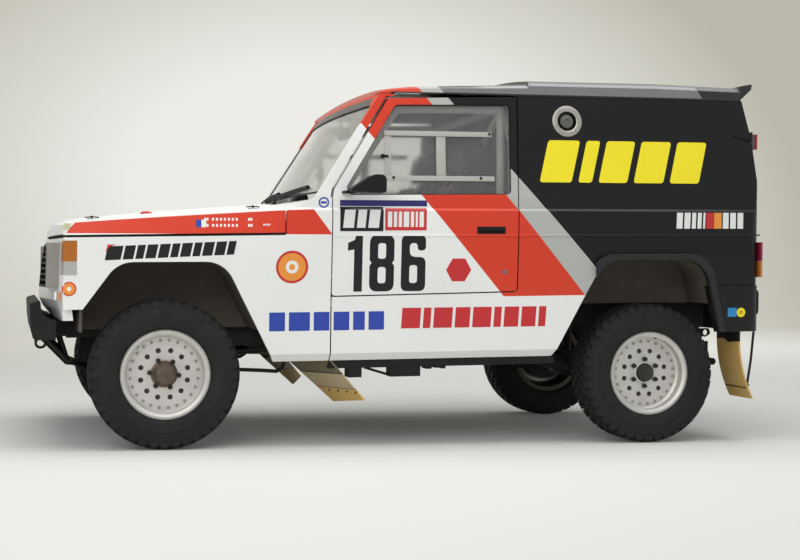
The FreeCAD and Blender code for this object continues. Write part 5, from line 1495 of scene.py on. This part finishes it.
@dataclass
class Tail(Section):
    """Filler, lamp brackets, tailgate fittings, flap bolts and stays, lens ends, bumper face and screws."""

    filler: Point2 = (738.0, 1543.0)
    filler_axis: tuple[float, float, float] = (0.0, -1.0, 0.1)
    scallops: int = 18

    def build_filler(self) -> None:
        """Make the filler's scalloped ring and its cap, on the left side."""
        mouth = on_side(*self.filler, 0, Side.LEFT)
        axis = Vector(self.filler_axis).normalized()
        ring = turned("ring", [(-3, 48), (-3, 75), (3, 75), (5, 71), (5, 52), (2, 48)], mouth, axis, 64)
        scallop = turned("scallop", [(3, 0), (3, 4.2), (6.2, 3.6), (7, 0)], Vector(), UP, 8)
        tree = ring_pattern(self.workshop.palette["filler_grey"])
        lobes = tree.bake(scallop, Count=self.scallops, Radius=0.062, Phase=0.0)
        lobes.transform(Matrix.Translation(mouth) @ axis.to_track_quat("Z", "Y").to_matrix().to_4x4())
        self.set_down(joined("filler_ring", [ring, lobes]), "filler_grey")
        profile = [(-20, 0), (-20, 34), (-4, 34), (0, 31), (1, 20), (3, 18), (3, 12), (-1, 9), (-1, 0)]
        self.set_down(turned("filler_cap", profile, mouth, axis), "cap_grey")

    def build_lamp_brackets(self) -> None:
        """Make the wedges that carry the high rear lamps."""
        for side in Side:
            inner, outer = [], []
            for x, z, proud in ((1598, 1487, 0.003), (1716, 1507, 0.016), (1712, 1462, 0.016)):
                ground = on_side(x, z, 0, side)
                inner.append(ground - side.outward * 0.004)
                outer.append(ground + side.outward * proud)
            mesh = Form().loft([inner, outer]).bevel(0.0015).mesh("lamp_bracket_" + side.tag)
            self.set_down(mesh, "trim_black", "root", "black_trim")

    def build_tailgate(self) -> None:
        """Make the tailgate's glass seal, handle and hinges."""
        loop = [level(1747 - (z - 1135) * 0.165, y, z) for y, z in rounded(slanted(-496, 992, 1202, 1546), 48.0)]
        seal = Form().tube(loop, 0.006, 8, ring=True).mesh("tailgate_seal", 60.0)
        self.set_down(seal, "seal_rubber", "tailgate", "black_trim")
        seat = Skin.touch("tailgate", level(BEYOND_END, -470, 1060), FORE)
        plate = Form().box(seat + Vector((-0.002, -0.075, -0.030)), seat + Vector((0.004, 0.075, 0.030)))
        grip = Form().box(seat + Vector((0.0, -0.060, -0.010)), seat + Vector((0.007, 0.050, 0.012)))
        handle = [plate.bevel(0.002).mesh("plate"), grip.bevel(0.003).mesh("grip")]
        self.set_down(joined("tailgate_handle", handle), "trim_black", "tailgate", "black_trim")
        pieces = []
        for z in (1120, 900):
            seat = Skin.touch("tailgate", level(BEYOND_END, 560, z), FORE)
            leaf = Form().box(seat + Vector((-0.002, -0.075, -0.026)), seat + Vector((0.003, 0.036, 0.026)))
            pieces.append(leaf.bevel(0.0015).mesh("leaf"))
            pieces += [turned("bolt", [(0, 0), (0, 8), (6, 6), (6.5, 0)], seat + Vector((0.002, y, 0)), AFT, 6)
                       for y in (-0.055, -0.015)]
        self.set_down(joined("tailgate_hinges", pieces), "paint_black", "tailgate", "body_black")

    def build_flaps(self) -> None:
        """Make the bolts, strips and stays of the mud flaps."""
        strips, stays = [], []
        for side in Side:
            sign = side.value
            for inset in (30, 90, 150, 210):
                start = level(-680 - inset * 0.62, sign * (824 - inset), 268)
                place = Skin.touch("mud_flaps", start, AFT)
                if place.x > start.x + 0.01:
                    strips.append(turned("bolt", [(0, 0), (0, 9), (4, 8), (6, 0)], place, Vector((-0.8, 0, 0.6)), 8))
            for z, inset in product((242, 226), (26, 90, 150, 210)):
                place = Skin.touch("mud_flaps", level(BEYOND_END, sign * (830 - inset), z), FORE)
                strips.append(turned("bolt", [(-1, 0), (-1, 8), (4, 7), (5, 0)], place, Vector((1, 0, -0.3)), 8))
            bar = [Skin.touch("mud_flaps", level(BEYOND_END, sign * y, 236), FORE) for y in (822, 700, 600)]
            strips.append(Form().tube([point + AFT * 0.002 for point in bar], 0.014, 6, flat=0.3).mesh("strip"))
            top = level(1736, sign * 812, 512)
            foot = bar[0] + Vector((0.004, -sign * 0.010, 0.012))
            bend = top * 0.45 + foot * 0.55 + AFT * 0.004
            stays.append(Form().tube([top, bend, foot], 0.0065, 8).mesh("stay"))
        self.set_down(joined("flap_bolts", strips), "hub_dark")
        self.set_down(joined("flap_stays", stays), "trim_black")

    def build_corner_lamps(self) -> None:
        """Make the outer ends of the tail lamps, which wrap to the body's corners."""
        outline = ((1757, 771), (1757, 834), (1768, 832), (1774, 822), (1774, 771))
        for side in Side:
            for name, low, high in (("red", 863, 957), ("amber", 783, 862)):
                rings = [[level(x, side.value * y, 0) + UP * (z * MM) for x, y in outline] for z in (low, high)]
                mesh = Form().loft(rings).bevel(0.0015).mesh("tail_lens_%s_%s" % (name, side.tag))
                self.set_down(mesh, "lens_" + name, "root", "lamp_glass")

    def build_bumper(self) -> None:
        """Make the bumper's face and its screws."""
        section = [(1764, 596), (1769, 600), (1773, 616), (1773, 702), (1768, 716), (1764, 718)]
        rings = [[level(x - back, y, z) for x, z in section] for y, back in (
            (-808, 12), (-790, 0), (-400, 0), (0, 0), (400, 0), (790, 0), (808, 12))]
        self.set_down(Form().loft(rings).mesh("bumper_face"), "trim_black", "root", "black_trim")
        pieces = []
        for side in Side:
            for x, z in ((1559, 672), (1700, 560), (1530, 560)):
                place = Skin.touch("rear_bumper", level(x, side.value * BESIDE_BODY, z), -side.outward)
                pieces.append(turned("screw", [(-1, 0), (-1, 7), (1.5, 6), (2, 0)], place, side.outward, 12))
        self.set_down(joined("bumper_screws", pieces), "hub_dark")

    def build(self) -> None:
        """Build the tail."""
        self.build_filler()
        self.build_lamp_brackets()
        self.build_tailgate()
        self.build_flaps()
        self.build_bumper()
        self.build_corner_lamps()


@dataclass
class Underbody(Section):
    """Dark rails under the sills, with the left side's brackets and stay, and a hose ahead of each."""

    near: float = 700.0
    far: float = 788.0
    low: float = 373.0
    high: float = 408.0
    hose_y: float = 590.0

    def block(self, span: Point2, side: Side, low: float, high: float) -> Mesh:
        """Give one block below a sill, between two places along the car and two level heights."""
        y_low, y_high = sorted((side.value * self.near, side.value * self.far))
        corners = [(x, y) for x in span for y in ((y_low, y_high) if x == span[0] else (y_high, y_low))]
        rings = [[level(x, y, z) for x, y in corners] for z in (low, high)]
        return Form().loft(rings).bevel(0.002, 1).mesh("block")

    def build(self) -> None:
        """Build the rails, which on the right leave room for the exhaust."""
        for side, spans in ((Side.LEFT, ((-420, 690),)), (Side.RIGHT, ((-420, 300), (520, 690)))):
            meshes = [self.block(span, side, self.low, self.high) for span in spans]
            hose = [level(x, side.value * self.hose_y, z)
                    for x, z in ((-806, 364), (-702, 358), (-630, 352), (-604, 366), (-590, 418))]
            meshes.append(Form().tube(hose, 0.009, 8).mesh("hose"))
            if side is Side.LEFT:
                meshes += [self.block((x, end), side, foot, self.low + 2) for x, end, foot in (
                    (-326, -262, 329), (-124, 22, 328), (50, 78, 361), (92, 112, 365), (126, 146, 361))]
                stay = [level(-240, -740, 372), level(-112, -740, 332)]
                meshes.append(Form().tube(stay, 0.006, 8).mesh("stay"))
            self.set_down(joined("sill_rail_" + side.tag, meshes), "trim_black", "root", "black_trim")


# Cabin

@dataclass
class Cabin(Section):
    """Seats with simulated pads, belts, dials, the wheel's boss and the door fittings."""

    seat_y: float = 360.0
    half: float = 235.0
    back: float = 400.0
    shell: float = 0.012
    wing: float = 46.0
    pad_steps: int = 18
    pad_voxel: float = 0.008
    pad_frames: int = 20
    pressure: float = 4.0
    cap: float = 0.020

    def spot(self, ahead: float, y: float, z: float) -> Vector:
        """Give a point of the left seat by its distance ahead of the seat's back."""
        return level(self.back - ahead, y - self.seat_y, z)

    def build_shells(self) -> None:
        """Make the two bucket shells with their runners and wings, which replace the CAD seats."""
        line = [(535, 800), (520, 776), (300, 758), (135, 752), (92, 790), (66, 900), (34, 1150), (8, 1420),
                (12, 1452), (40, 1466)]
        half = self.half - 44
        form = Form()
        front = [form.ring([self.spot(ahead, -half, z), self.spot(ahead, half, z)]) for ahead, z in line]
        for first, second in zip(front, front[1:]):
            form.bm.faces.new((first[0], first[1], second[1], second[0]))
        bmesh.ops.recalc_face_normals(form.bm, faces=form.bm.faces)
        bmesh.ops.solidify(form.bm, geom=form.bm.faces[:], thickness=self.shell)
        meshes = [form.mesh("sheet")]
        wing = rounded(((515, 790), (130, 766), (84, 806), (30, 1290), (150, 1276), (214, 1010), (500, 914)), 40.0)
        for y in (-self.half, self.half - self.wing):
            rings = [[self.spot(ahead, edge, z) for ahead, z in wing] for edge in (y, y + self.wing)]
            meshes.append(Form().loft(rings).bevel(0.014, 3, 50.0).mesh("wing"))
        for y in (-self.half + 50, self.half - 80):
            runner = Form().box(self.spot(490, y, 679), self.spot(150, y + 30, 756))
            meshes.append(runner.bevel(0.003).mesh("runner"))
        shell = joined("seat_shell_left", meshes)
        for mesh in (shell, self.mirrored(shell, "seat_shell_right")):
            self.set_down(mesh, "shell_black", "root", "seat_cloth", ["seats"])

    def mirrored(self, mesh: Mesh, name: str) -> Mesh:
        """Give the mirror image of a mesh on the other side of the car."""
        copy = mesh.copy()
        copy.name = name
        copy.transform(Matrix.Diagonal((1, -1, 1, 1)))
        bm = bmesh.new()
        bm.from_mesh(copy)
        bmesh.ops.reverse_faces(bm, faces=bm.faces)
        bm.to_mesh(copy)
        bm.free()
        return copy

    def pad(self, name: str, centre: Vector, along: Vector, across: Vector, size: tuple[float, float, float],
            pinch: float = 0.05) -> Mesh:
        """Make a pad as a crowned pillow and let it swell as cloth.

        Args:
            name: The pad's name.
            centre: Its middle.
            along: Direction of its length.
            across: Direction of its width.
            size: Half length, half width and half thickness in metres.
            pinch: Share by which its sides pull in between the corners.

        Returns:
            The swollen pad's mesh.
        """
        along, across = along.normalized(), across.normalized()
        upward = along.cross(across)
        steps = self.pad_steps
        shares = [2 * step / steps - 1 for step in range(steps + 1)]
        form = Form()

        def place(sign: int, u: float, v: float) -> Vector:
            """Give a point of the upper or lower sheet, u and v from -1 to 1."""
            crown = max(0.0, (1 - abs(u) ** 6) * (1 - abs(v) ** 6)) ** 0.5
            reach_u, reach_v = u * (1 - pinch * (1 - v * v)), v * (1 - pinch * (1 - u * u))
            return (centre + along * (size[0] * reach_u) + across * (size[1] * reach_v)
                    + upward * (sign * size[2] * (0.12 + 0.88 * crown)))

        sheets = [[form.ring(place(sign, u, v) for v in shares) for u in shares] for sign in (1, -1)]
        for rows in sheets:
            for first, second in zip(rows, rows[1:]):
                for column in range(steps):
                    form.bm.faces.new((first[column], first[column + 1], second[column + 1], second[column]))
        top, low = sheets
        edge = [(0, c) for c in range(steps)] + [(r, steps) for r in range(steps)]
        edge += [(steps, c) for c in range(steps, 0, -1)] + [(r, 0) for r in range(steps, 0, -1)]
        form.bridge([top[r][c] for r, c in edge], [low[r][c] for r, c in edge])
        start = form.mesh(name, 60.0)
        return self.swell(start)

    def swell(self, mesh: Mesh) -> Mesh:
        """Remesh a pad evenly and run cloth with pressure on it.

        Args:
            mesh: The pad's first shape, which is used up.

        Returns:
            The swollen shape, with one level of subdivision.
        """
        def even_out(remesh: bpy.types.Modifier) -> None:
            """Set small square faces all over."""
            remesh.mode, remesh.voxel_size = "VOXEL", self.pad_voxel

        def blow_up(cloth: bpy.types.Modifier) -> None:
            """Set the pressure and run the cloth to its last frame."""
            cloth.settings.use_pressure = True
            cloth.settings.uniform_pressure_force = self.pressure
            cloth.settings.effector_weights.gravity = 0.0
            cloth.settings.quality = 5
            cloth.point_cache.frame_start, cloth.point_cache.frame_end = 1, self.pad_frames
            for number in range(1, self.pad_frames + 1):
                bpy.context.scene.frame_set(number)

        def refine(finer: bpy.types.Modifier) -> None:
            """Set one level of subdivision."""
            finer.levels = finer.render_levels = 1

        name, mesh.name = mesh.name, "pad_start"
        even = modified(mesh, "REMESH", even_out)
        before = [vertex.co.copy() for vertex in even.vertices]
        swollen = modified(even, "CLOTH", blow_up)
        bpy.context.scene.frame_set(1)
        for vertex, start in zip(swollen.vertices, before):
            move = vertex.co - start
            if move.length > self.cap:
                vertex.co = start + move.normalized() * self.cap
        made = modified(swollen, "SUBSURF", refine)
        made.name = name
        return made

    def build_pads(self) -> None:
        """Make the seat, back and head pads of both seats."""
        lean = (self.spot(125, 0, 1390) - self.spot(196, 0, 945)).normalized()
        slope = self.spot(520, 0, 858) - self.spot(200, 0, 838)
        plans = (("seat_pad", self.spot(370, 0, 842), slope, (0.150, 0.168, 0.038)),
                 ("back_pad", self.spot(128, 0, 1080), lean, (0.190, 0.165, 0.034)),
                 ("head_pad", self.spot(82, 0, 1372), lean, (0.075, 0.120, 0.026)))
        for name, centre, along, size in plans:
            mesh = self.pad(name + "_left", centre, along, ACROSS, size)
            for piece in (mesh, self.mirrored(mesh, name + "_right")):
                made = self.set_down(piece, "seat_cloth", "root", "seat_cloth", ["seats"])

    def build_belts(self) -> None:
        """Make the shoulder and lap webbing of both seats."""
        for side in Side:
            meshes = []
            for y in (-70, 70):
                path = [self.spot(ahead, y * share, z) for ahead, share, z in (
                    (-24, 1.4, 1330), (30, 1.0, 1330), (110, 1.0, 1290), (172, 0.95, 1180), (206, 0.7, 1040),
                    (262, 0.25, 905))]
                meshes.append(self.strap(path, ACROSS, 0.024))
            for sign in (-1, 1):
                path = [self.spot(ahead, sign * y, z)
                        for ahead, y, z in ((150, 182, 880), (190, 150, 912), (240, 80, 906), (268, 14, 902))]
                meshes.append(self.strap(path, Vector((0.9, 0, 0.45)), 0.022))
            mesh = joined("belt_left", meshes)
            buckle = turned("belt_buckle_left", [(0, 0), (0, 30), (10, 28), (14, 12), (14, 0)],
                            self.spot(268, 0, 896), Vector((-0.4, 0, 1)), 24)
            if side is Side.RIGHT:
                mesh, buckle = self.mirrored(mesh, "belt_right"), self.mirrored(buckle, "belt_buckle_right")
            self.set_down(mesh, "belt_webbing", "root", "seat_cloth")
            self.set_down(buckle, "zinc")

    def strap(self, path: Sequence[Vector], across: Vector, half: float) -> Mesh:
        """Make a flat strap along a path.

        Args:
            path: Points of its middle.
            across: Direction of its width.
            half: Half its width in metres.

        Returns:
            The strap's mesh.
        """
        across = across.normalized()
        rings = []
        for index, point in enumerate(path):
            before, after = path[max(index - 1, 0)], path[min(index + 1, len(path) - 1)]
            lift = (after - before).cross(across).normalized() * 0.0012
            rings.append([point - across * half - lift, point + across * half - lift,
                          point + across * half + lift, point - across * half + lift])
        return Form().loft(rings).mesh("strap")

    def build_dash(self) -> None:
        """Make the dials on the dashboard and the boss on the steering wheel."""
        faces, rims = [], []
        for y, z, edge in ((-420, 1098, 34), (-300, 1098, 34), (-30, 1040, 24), (40, 1040, 24), (110, 1040, 24)):
            seat = Skin.touch("dashboard", level(-200, y, z), FORE)
            rim = [(-2, edge), (6, edge), (6, edge - 3), (2, edge - 4), (-2, edge - 4)]
            rims.append(turned("rim", rim, seat, AFT, 32))
            faces.append(turned("face", [(-1, 0), (-1, edge - 4), (2, edge - 4), (2, 0)], seat, AFT, 24))
        self.set_down(joined("dial_rims", rims), "trim_black")
        self.set_down(joined("dial_faces", faces), "gauge_white")
        boss = turned("wheel_boss", [(9, 0), (9, 42), (13, 46), (19, 44), (23, 34), (24, 18), (21, 14), (21, 0)],
                      level(-240, -self.seat_y, 1072), Vector((0.91, 0, 0.415)), 40)
        self.set_down(boss, "wheel_suede", "steering_wheel")

    def build_door_fittings(self, side: Side) -> None:
        """Make a door's handle lever and the mirror's glass."""
        body = "door_" + side.tag
        form = Form().box(Vector((288, 829, 1012.5)), Vector((404, 837.5, 1026.5)))
        lever = form.each(lambda point: level(point.x, side.value * point.y, point.z)).bevel(0.0025)
        self.set_down(lever.mesh("handle_lever_" + side.tag), "trim_black", body, "black_trim")
        seat = level(-203, side.value * 936, 1226)
        outline = [seat + Vector((0, y, z)) * MM for y, z in rounded(slanted(-40, 80, -30, 30), 14.0)]
        glass = Form().prism(outline, FORE * 0.0012).mesh("mirror_glass_" + side.tag)
        self.set_down(glass, "reflector", body)

    def build(self) -> None:
        """Build the cabin."""
        self.build_shells()
        self.build_pads()
        self.build_belts()
        self.build_dash()
        for side in Side:
            self.build_door_fittings(side)


# Wheels

@dataclass
class Wheel(Section):
    """Tyre with its tread, and the rivets, nuts, valve, drum and hub of one rim, in millimetres."""

    axle: Axle
    side: Side
    half_base: float = 1175.0
    half_track: float = 720.0
    radius: float = 340.0
    half_width: float = 112.5
    bead: float = 187.0
    flange: float = 202.0
    rim_face: float = 36.0
    lug_count: int = 40
    lug_share: float = 0.36
    shoulder: float = 100.0
    shoulder_drop: float = 14.0
    rivet_count: int = 24
    nut_count: int = 6

    @property
    def tag(self) -> str:
        """The axle and side in the wheel's names."""
        return "%s_%s" % (self.axle.name.lower(), self.side.tag)

    @property
    def centre(self) -> Vector:
        """The wheel's centre."""
        return Vector((self.axle.value * self.half_base, self.side.value * self.half_track, self.radius)) * MM

    def seat(self) -> Matrix:
        """Give the turn and shift that take a pattern from the Z axis to this wheel, outside to +Z."""
        return Matrix.Translation(self.centre) @ Matrix.Rotation(-self.side.value * math.pi / 2, 4, "X")

    def build_tyre(self) -> None:
        """Make the carcass with its sidewall rings, and the tread blocks on it."""
        half, flange, radius = self.half_width, self.flange, self.radius
        wall = [(82, self.bead), (90, flange + 1), (99, flange + 7), (104, flange + 13), (108, flange + 30),
                (half - 2.5, flange + 44), (half - 1, flange + 52), (half - 1, flange + 60), (half - 4, flange + 62),
                (half - 4, flange + 74), (half - 10, radius - 34), (94, radius - 16), (80, radius - 11),
                (40, radius - 9)]
        profile = wall + [(-along, out) for along, out in reversed(wall)]
        meshes = [turned("carcass", profile, self.centre, ACROSS, 96)]
        tree = ring_pattern(self.workshop.palette["tyre_rubber"])
        pitch = 2 * math.pi / self.lug_count
        for near, far, base, top, skew, phase in (
                (4, 37, -12, 0, 10, 0.0), (43, 76, -13, -0.6, 12, 0.5), (81, 104, -26, -1.5, 0, 0.0)):
            for way in (1, -1):
                turn = phase + (0.5 if way < 0 else 0.0)
                made = tree.bake(self.lug(near, far, base, top, skew, way), Count=self.lug_count, Radius=1e-5,
                                 Phase=turn * pitch)
                made.transform(self.seat())
                meshes.append(made)
        mesh = joined("tyre_tread_" + self.tag, meshes, 30.0)
        self.set_down(mesh, "tyre_rubber", "wheel_" + self.tag, "tyre_rubber", ["tyre_" + self.tag])

    def lug(self, near: float, far: float, base: float, top: float, skew: float, way: int) -> Mesh:
        """Give one tread block, drawn about the Z axis at angle 0.

        Args:
            near: Distance of its inner end from the tyre's middle.
            far: Distance of its outer end.
            base: Height of its foot over the tread's radius.
            top: Height of its face over the tread's radius.
            skew: Shift of its outer end round the tyre.
            way: 1 for the outer half of the tread and -1 for the inner.

        Returns:
            The block's mesh.
        """
        length = 2 * math.pi * self.radius / self.lug_count * self.lug_share
        drop = self.shoulder_drop if far > self.shoulder else 0.0
        rings = []
        for shrink, out in ((1.0, base), (0.94, (base + top) / 2), (0.82, top)):
            reach_near, reach_far = self.radius + out, self.radius + out - drop * (1.0 if out > base else 0.6)
            rings.append([Vector((math.sqrt(reach ** 2 - round_by ** 2), round_by, way * along)) * MM
                          for along, reach, round_by in (
                              (near, reach_near, -length * shrink), (near, reach_near, length * shrink),
                              (far, reach_far, skew + length * shrink), (far, reach_far, skew - length * shrink))])
        return Form().loft(rings).mesh("lug")

    def build_ring(self, unit: Mesh, name: str, finish: str, count: int,
                   radius: float, phase: float) -> None:
        """Repeat a unit round the rim.

        Args:
            unit: The unit, drawn about the Z axis.
            name: The piece's name without the wheel's.
            finish: Its finish.
            count: Number of units.
            radius: Radius of their circle in metres.
            phase: Turn of the whole ring in radians.
        """
        ring = ring_pattern(self.workshop.palette[finish]).bake(unit, Count=count, Radius=radius, Phase=phase)
        ring.transform(self.seat())
        ring.name = name + "_" + self.tag
        self.set_down(ring, finish, "wheel_" + self.tag, "wheel_alloy")

    def build_rim(self) -> None:
        """Make the rivets, nuts, lip, valve, brake drum and hub cover on the CAD rim."""
        body, front = "wheel_" + self.tag, self.axle is Axle.FRONT
        centre, outward = self.centre, self.side.outward
        rivet = turned("rivet", [(0, 0), (0, 7.5), (2.2, 7.5), (3.4, 6.2), (3.4, 3.4), (1.6, 3), (1.6, 0)],
                       UP * (self.rim_face * MM), UP, 12)
        self.build_ring(rivet, "rim_rivets", "zinc", self.rivet_count, 0.154, 0.13)
        profile = [(0, 0), (0, 12.5), (3, 12.5), (4, 9.8), (18, 9.8), (21, 7.8), (21, 4.8), (14, 4.4), (14, 0)]
        nut = turned("nut", profile, UP * ((self.rim_face + 2) * MM), UP, 6)
        self.build_ring(nut, "wheel_nuts", "hub_dark", self.nut_count, 0.066,
                        math.radians(-5.0 if front else 30.0))
        profile = [(90, 197.5), (98, 197.5), (98, 200), (96, 201.5), (92.5, 201.5), (90, 200)]
        lip = turned("rim_lip_" + self.tag, profile, centre, outward, 96)
        self.set_down(lip, "polished_lip", body, "wheel_alloy")
        turn = math.radians(135.0 if front else 78.0)
        spoke = Vector((math.cos(turn), 0, math.sin(turn)))
        valve = [centre + outward * 0.050 + spoke * 0.186, centre + outward * 0.084 + spoke * 0.176]
        profile = [(-30, 50), (-30, 132), (18, 132), (20, 126), (20, 50)]
        drum = turned("brake_drum_" + self.tag, profile, centre, outward)
        self.set_down(drum, "liner_black", body)
        self.set_down(Form().tube(valve, 0.0055, 8).mesh("valve_" + self.tag), "seal_rubber", body)
        face = self.rim_face + (52 if front else 22)
        if front:
            profile = [(36, 0), (36, 61), (44, 61), (48, 50), (70, 48), (74, 43), (face + 1, 41), (face + 2, 34),
                       (face + 1.5, 12), (face + 3, 10), (face + 3, 0)]
        else:
            profile = [(36, 0), (36, 48), (46, 45), (face - 4, 43), (face, 40), (face + 1, 34), (face - 1, 30),
                       (face - 1, 0)]
        hub = turned("hub_cover_" + self.tag, profile, centre, outward, 40)
        self.set_down(hub, "hub_bronze" if front else "hub_dark", body, "hub_iron")

    def build(self) -> None:
        """Make the wheel's pieces."""
        self.build_tyre()
        self.build_rim()


# Studio

FLOOR_LIT, FLOOR_SEEN = srgb(220, 221, 216), srgb(228, 229, 224)
# Painted light on the wall: a pool brightest about its middle, darker towards its edges.
WALL_MIDDLE, WALL_EDGE = srgb(237, 236, 231), srgb(186, 184, 170)

# Each lamp's place, the point it faces, its sizes in metres and its power in watts.
LAMPS = {"overhead": ((0.0, -0.8, 5.2), (0.0, 0.0, 0.0), (7.0, 4.0), 210.0),
         "front_fill": ((-3.5, -6.0, 4.0), (0.0, 0.0, 0.8), (5.0, 3.0), 120.0)}


@dataclass
class Studio:
    """Pale floor and wall, soft lamps, and the camera."""

    camera_place: tuple[float, float, float] = (-1.8542, -7.6118, 0.8202)
    yaw: float = 14.543
    pitch: float = -0.323
    roll: float = 0.828
    lens: float = 67.5
    sensor: float = 36.0
    light_pool_middle: Point2 = (3.7, 2.3)
    light_pool_reach: Point2 = (8.5, 5.0)
    floor_near: float = -30.0
    floor_far: float = 14.0
    cove_radius: float = 4.0
    wall_top: float = 22.0
    wall_half: float = 36.0
    air: Colour = (0.95, 0.97, 1.0, 1.0)
    air_strength: float = 0.62

    def build_camera(self) -> None:
        """Set the camera at the photograph's angle."""
        yaw, pitch, roll = (math.radians(angle) for angle in (self.yaw, self.pitch, self.roll))
        forward = Vector((math.sin(yaw) * math.cos(pitch), math.cos(yaw) * math.cos(pitch), math.sin(pitch)))
        flat = Vector((math.cos(yaw), -math.sin(yaw), 0.0))
        above = flat.cross(forward)
        right = flat * math.cos(roll) + above * math.sin(roll)
        upward = above * math.cos(roll) - flat * math.sin(roll)
        data = bpy.data.cameras.new("camera")
        data.lens = self.lens
        data.sensor_width = self.sensor
        data.clip_start, data.clip_end = 0.05, 200.0
        camera = put("camera", data)
        turn = Matrix((right, upward, -forward)).transposed().to_4x4()
        camera.matrix_world = Matrix.Translation(self.camera_place) @ turn
        bpy.context.scene.camera = camera

    def build_cove(self) -> None:
        """Make the floor that curves up into the wall, with a painted pool of light on the wall."""
        graph = ShaderGraph("studio_paint")
        depth = graph.remap(graph.axis("Y"), 0.9, 8.0)
        # A painted pool of light: the wall is brighter about a middle and darker further out.
        across, upward = (
            graph.math("DIVIDE", graph.math("SUBTRACT", graph.axis(name), middle), reach)
            for name, middle, reach in zip("XZ", self.light_pool_middle, self.light_pool_reach))
        away = graph.math("SQRT", graph.math("ADD", graph.times(across, across), graph.times(upward, upward)))
        wall = graph.mix(graph.remap(away, 0.42, 1.03), WALL_MIDDLE, WALL_EDGE)
        colour = graph.mix(depth, FLOOR_SEEN, wall)
        graph.set(Base_Color=graph.mix(depth, FLOOR_LIT, wall), Roughness=0.85, Specular_IOR_Level=0.1)
        path = graph.node("ShaderNodeLightPath")
        seen = path.outputs["Is Camera Ray"]
        for name in ("Is Glossy Ray", "Is Transmission Ray"):
            seen = graph.math("MAXIMUM", seen, path.outputs[name])
        glow = graph.node("ShaderNodeEmission", {"Color": colour, "Strength": 1.0})
        share = graph.times(seen, graph.remap(depth, 0.0, 1.0, 0.05, 1.0))
        blend = graph.node("ShaderNodeMixShader", {0: share, 1: graph.shader.outputs[0], 2: glow.outputs[0]})
        graph.feed(graph.output.inputs[0], blend.outputs[0])
        far, radius = self.floor_far, self.cove_radius
        turns = [math.pi / 2 * step / 12 for step in range(1, 13)]
        profile = [(self.floor_near, 0.0), (far, 0.0)]
        profile += [(far + radius * math.sin(turn), radius - radius * math.cos(turn)) for turn in turns]
        profile.append((far + radius, self.wall_top))
        bm = bmesh.new()
        rows = [[bm.verts.new((x, y, z)) for y, z in profile] for x in (-self.wall_half, self.wall_half)]
        for index in range(len(profile) - 1):
            bm.faces.new((rows[0][index], rows[0][index + 1], rows[1][index + 1], rows[1][index]))
        bmesh.ops.recalc_face_normals(bm, faces=bm.faces)
        mesh = bpy.data.meshes.new("studio_cove")
        bm.to_mesh(mesh)
        bm.free()
        mesh.shade_smooth()
        mesh.materials.append(graph.material)
        put("studio_cove", mesh)

    def build_light(self) -> None:
        """Make the soft world and the overhead lamps."""
        world = bpy.data.worlds.new("studio_air")
        world.use_nodes = True
        ground = world.node_tree.nodes["Background"]
        ground.inputs["Color"].default_value = self.air
        ground.inputs["Strength"].default_value = self.air_strength
        bpy.context.scene.world = world
        for name, (place, target, size, power) in LAMPS.items():
            data = bpy.data.lights.new(name, "AREA")
            data.shape = "RECTANGLE"
            data.size, data.size_y = size
            data.energy = power
            turn = (Vector(target) - Vector(place)).to_track_quat("-Z", "Y").to_matrix().to_4x4()
            put(name, data).matrix_world = Matrix.Translation(place) @ turn

    def build(self) -> None:
        """Build the studio."""
        self.build_camera()
        self.build_cove()
        self.build_light()
        bpy.context.scene.view_settings.view_transform = "Standard"


def main() -> None:
    """Build the car's looks and the studio around it."""
    logging.basicConfig(level=logging.INFO, format="%(message)s")
    workshop = Workshop(Palette())
    for part in (Livery, Glazing, Nose, Tail, Underbody, Cabin):
        LOG.info("building %s", part.__name__)
        part(workshop).build()
    for axle, side in product(Axle, Side):
        Wheel(workshop, axle, side).build()
    Studio().build()


if __name__ == "__main__":
    main()
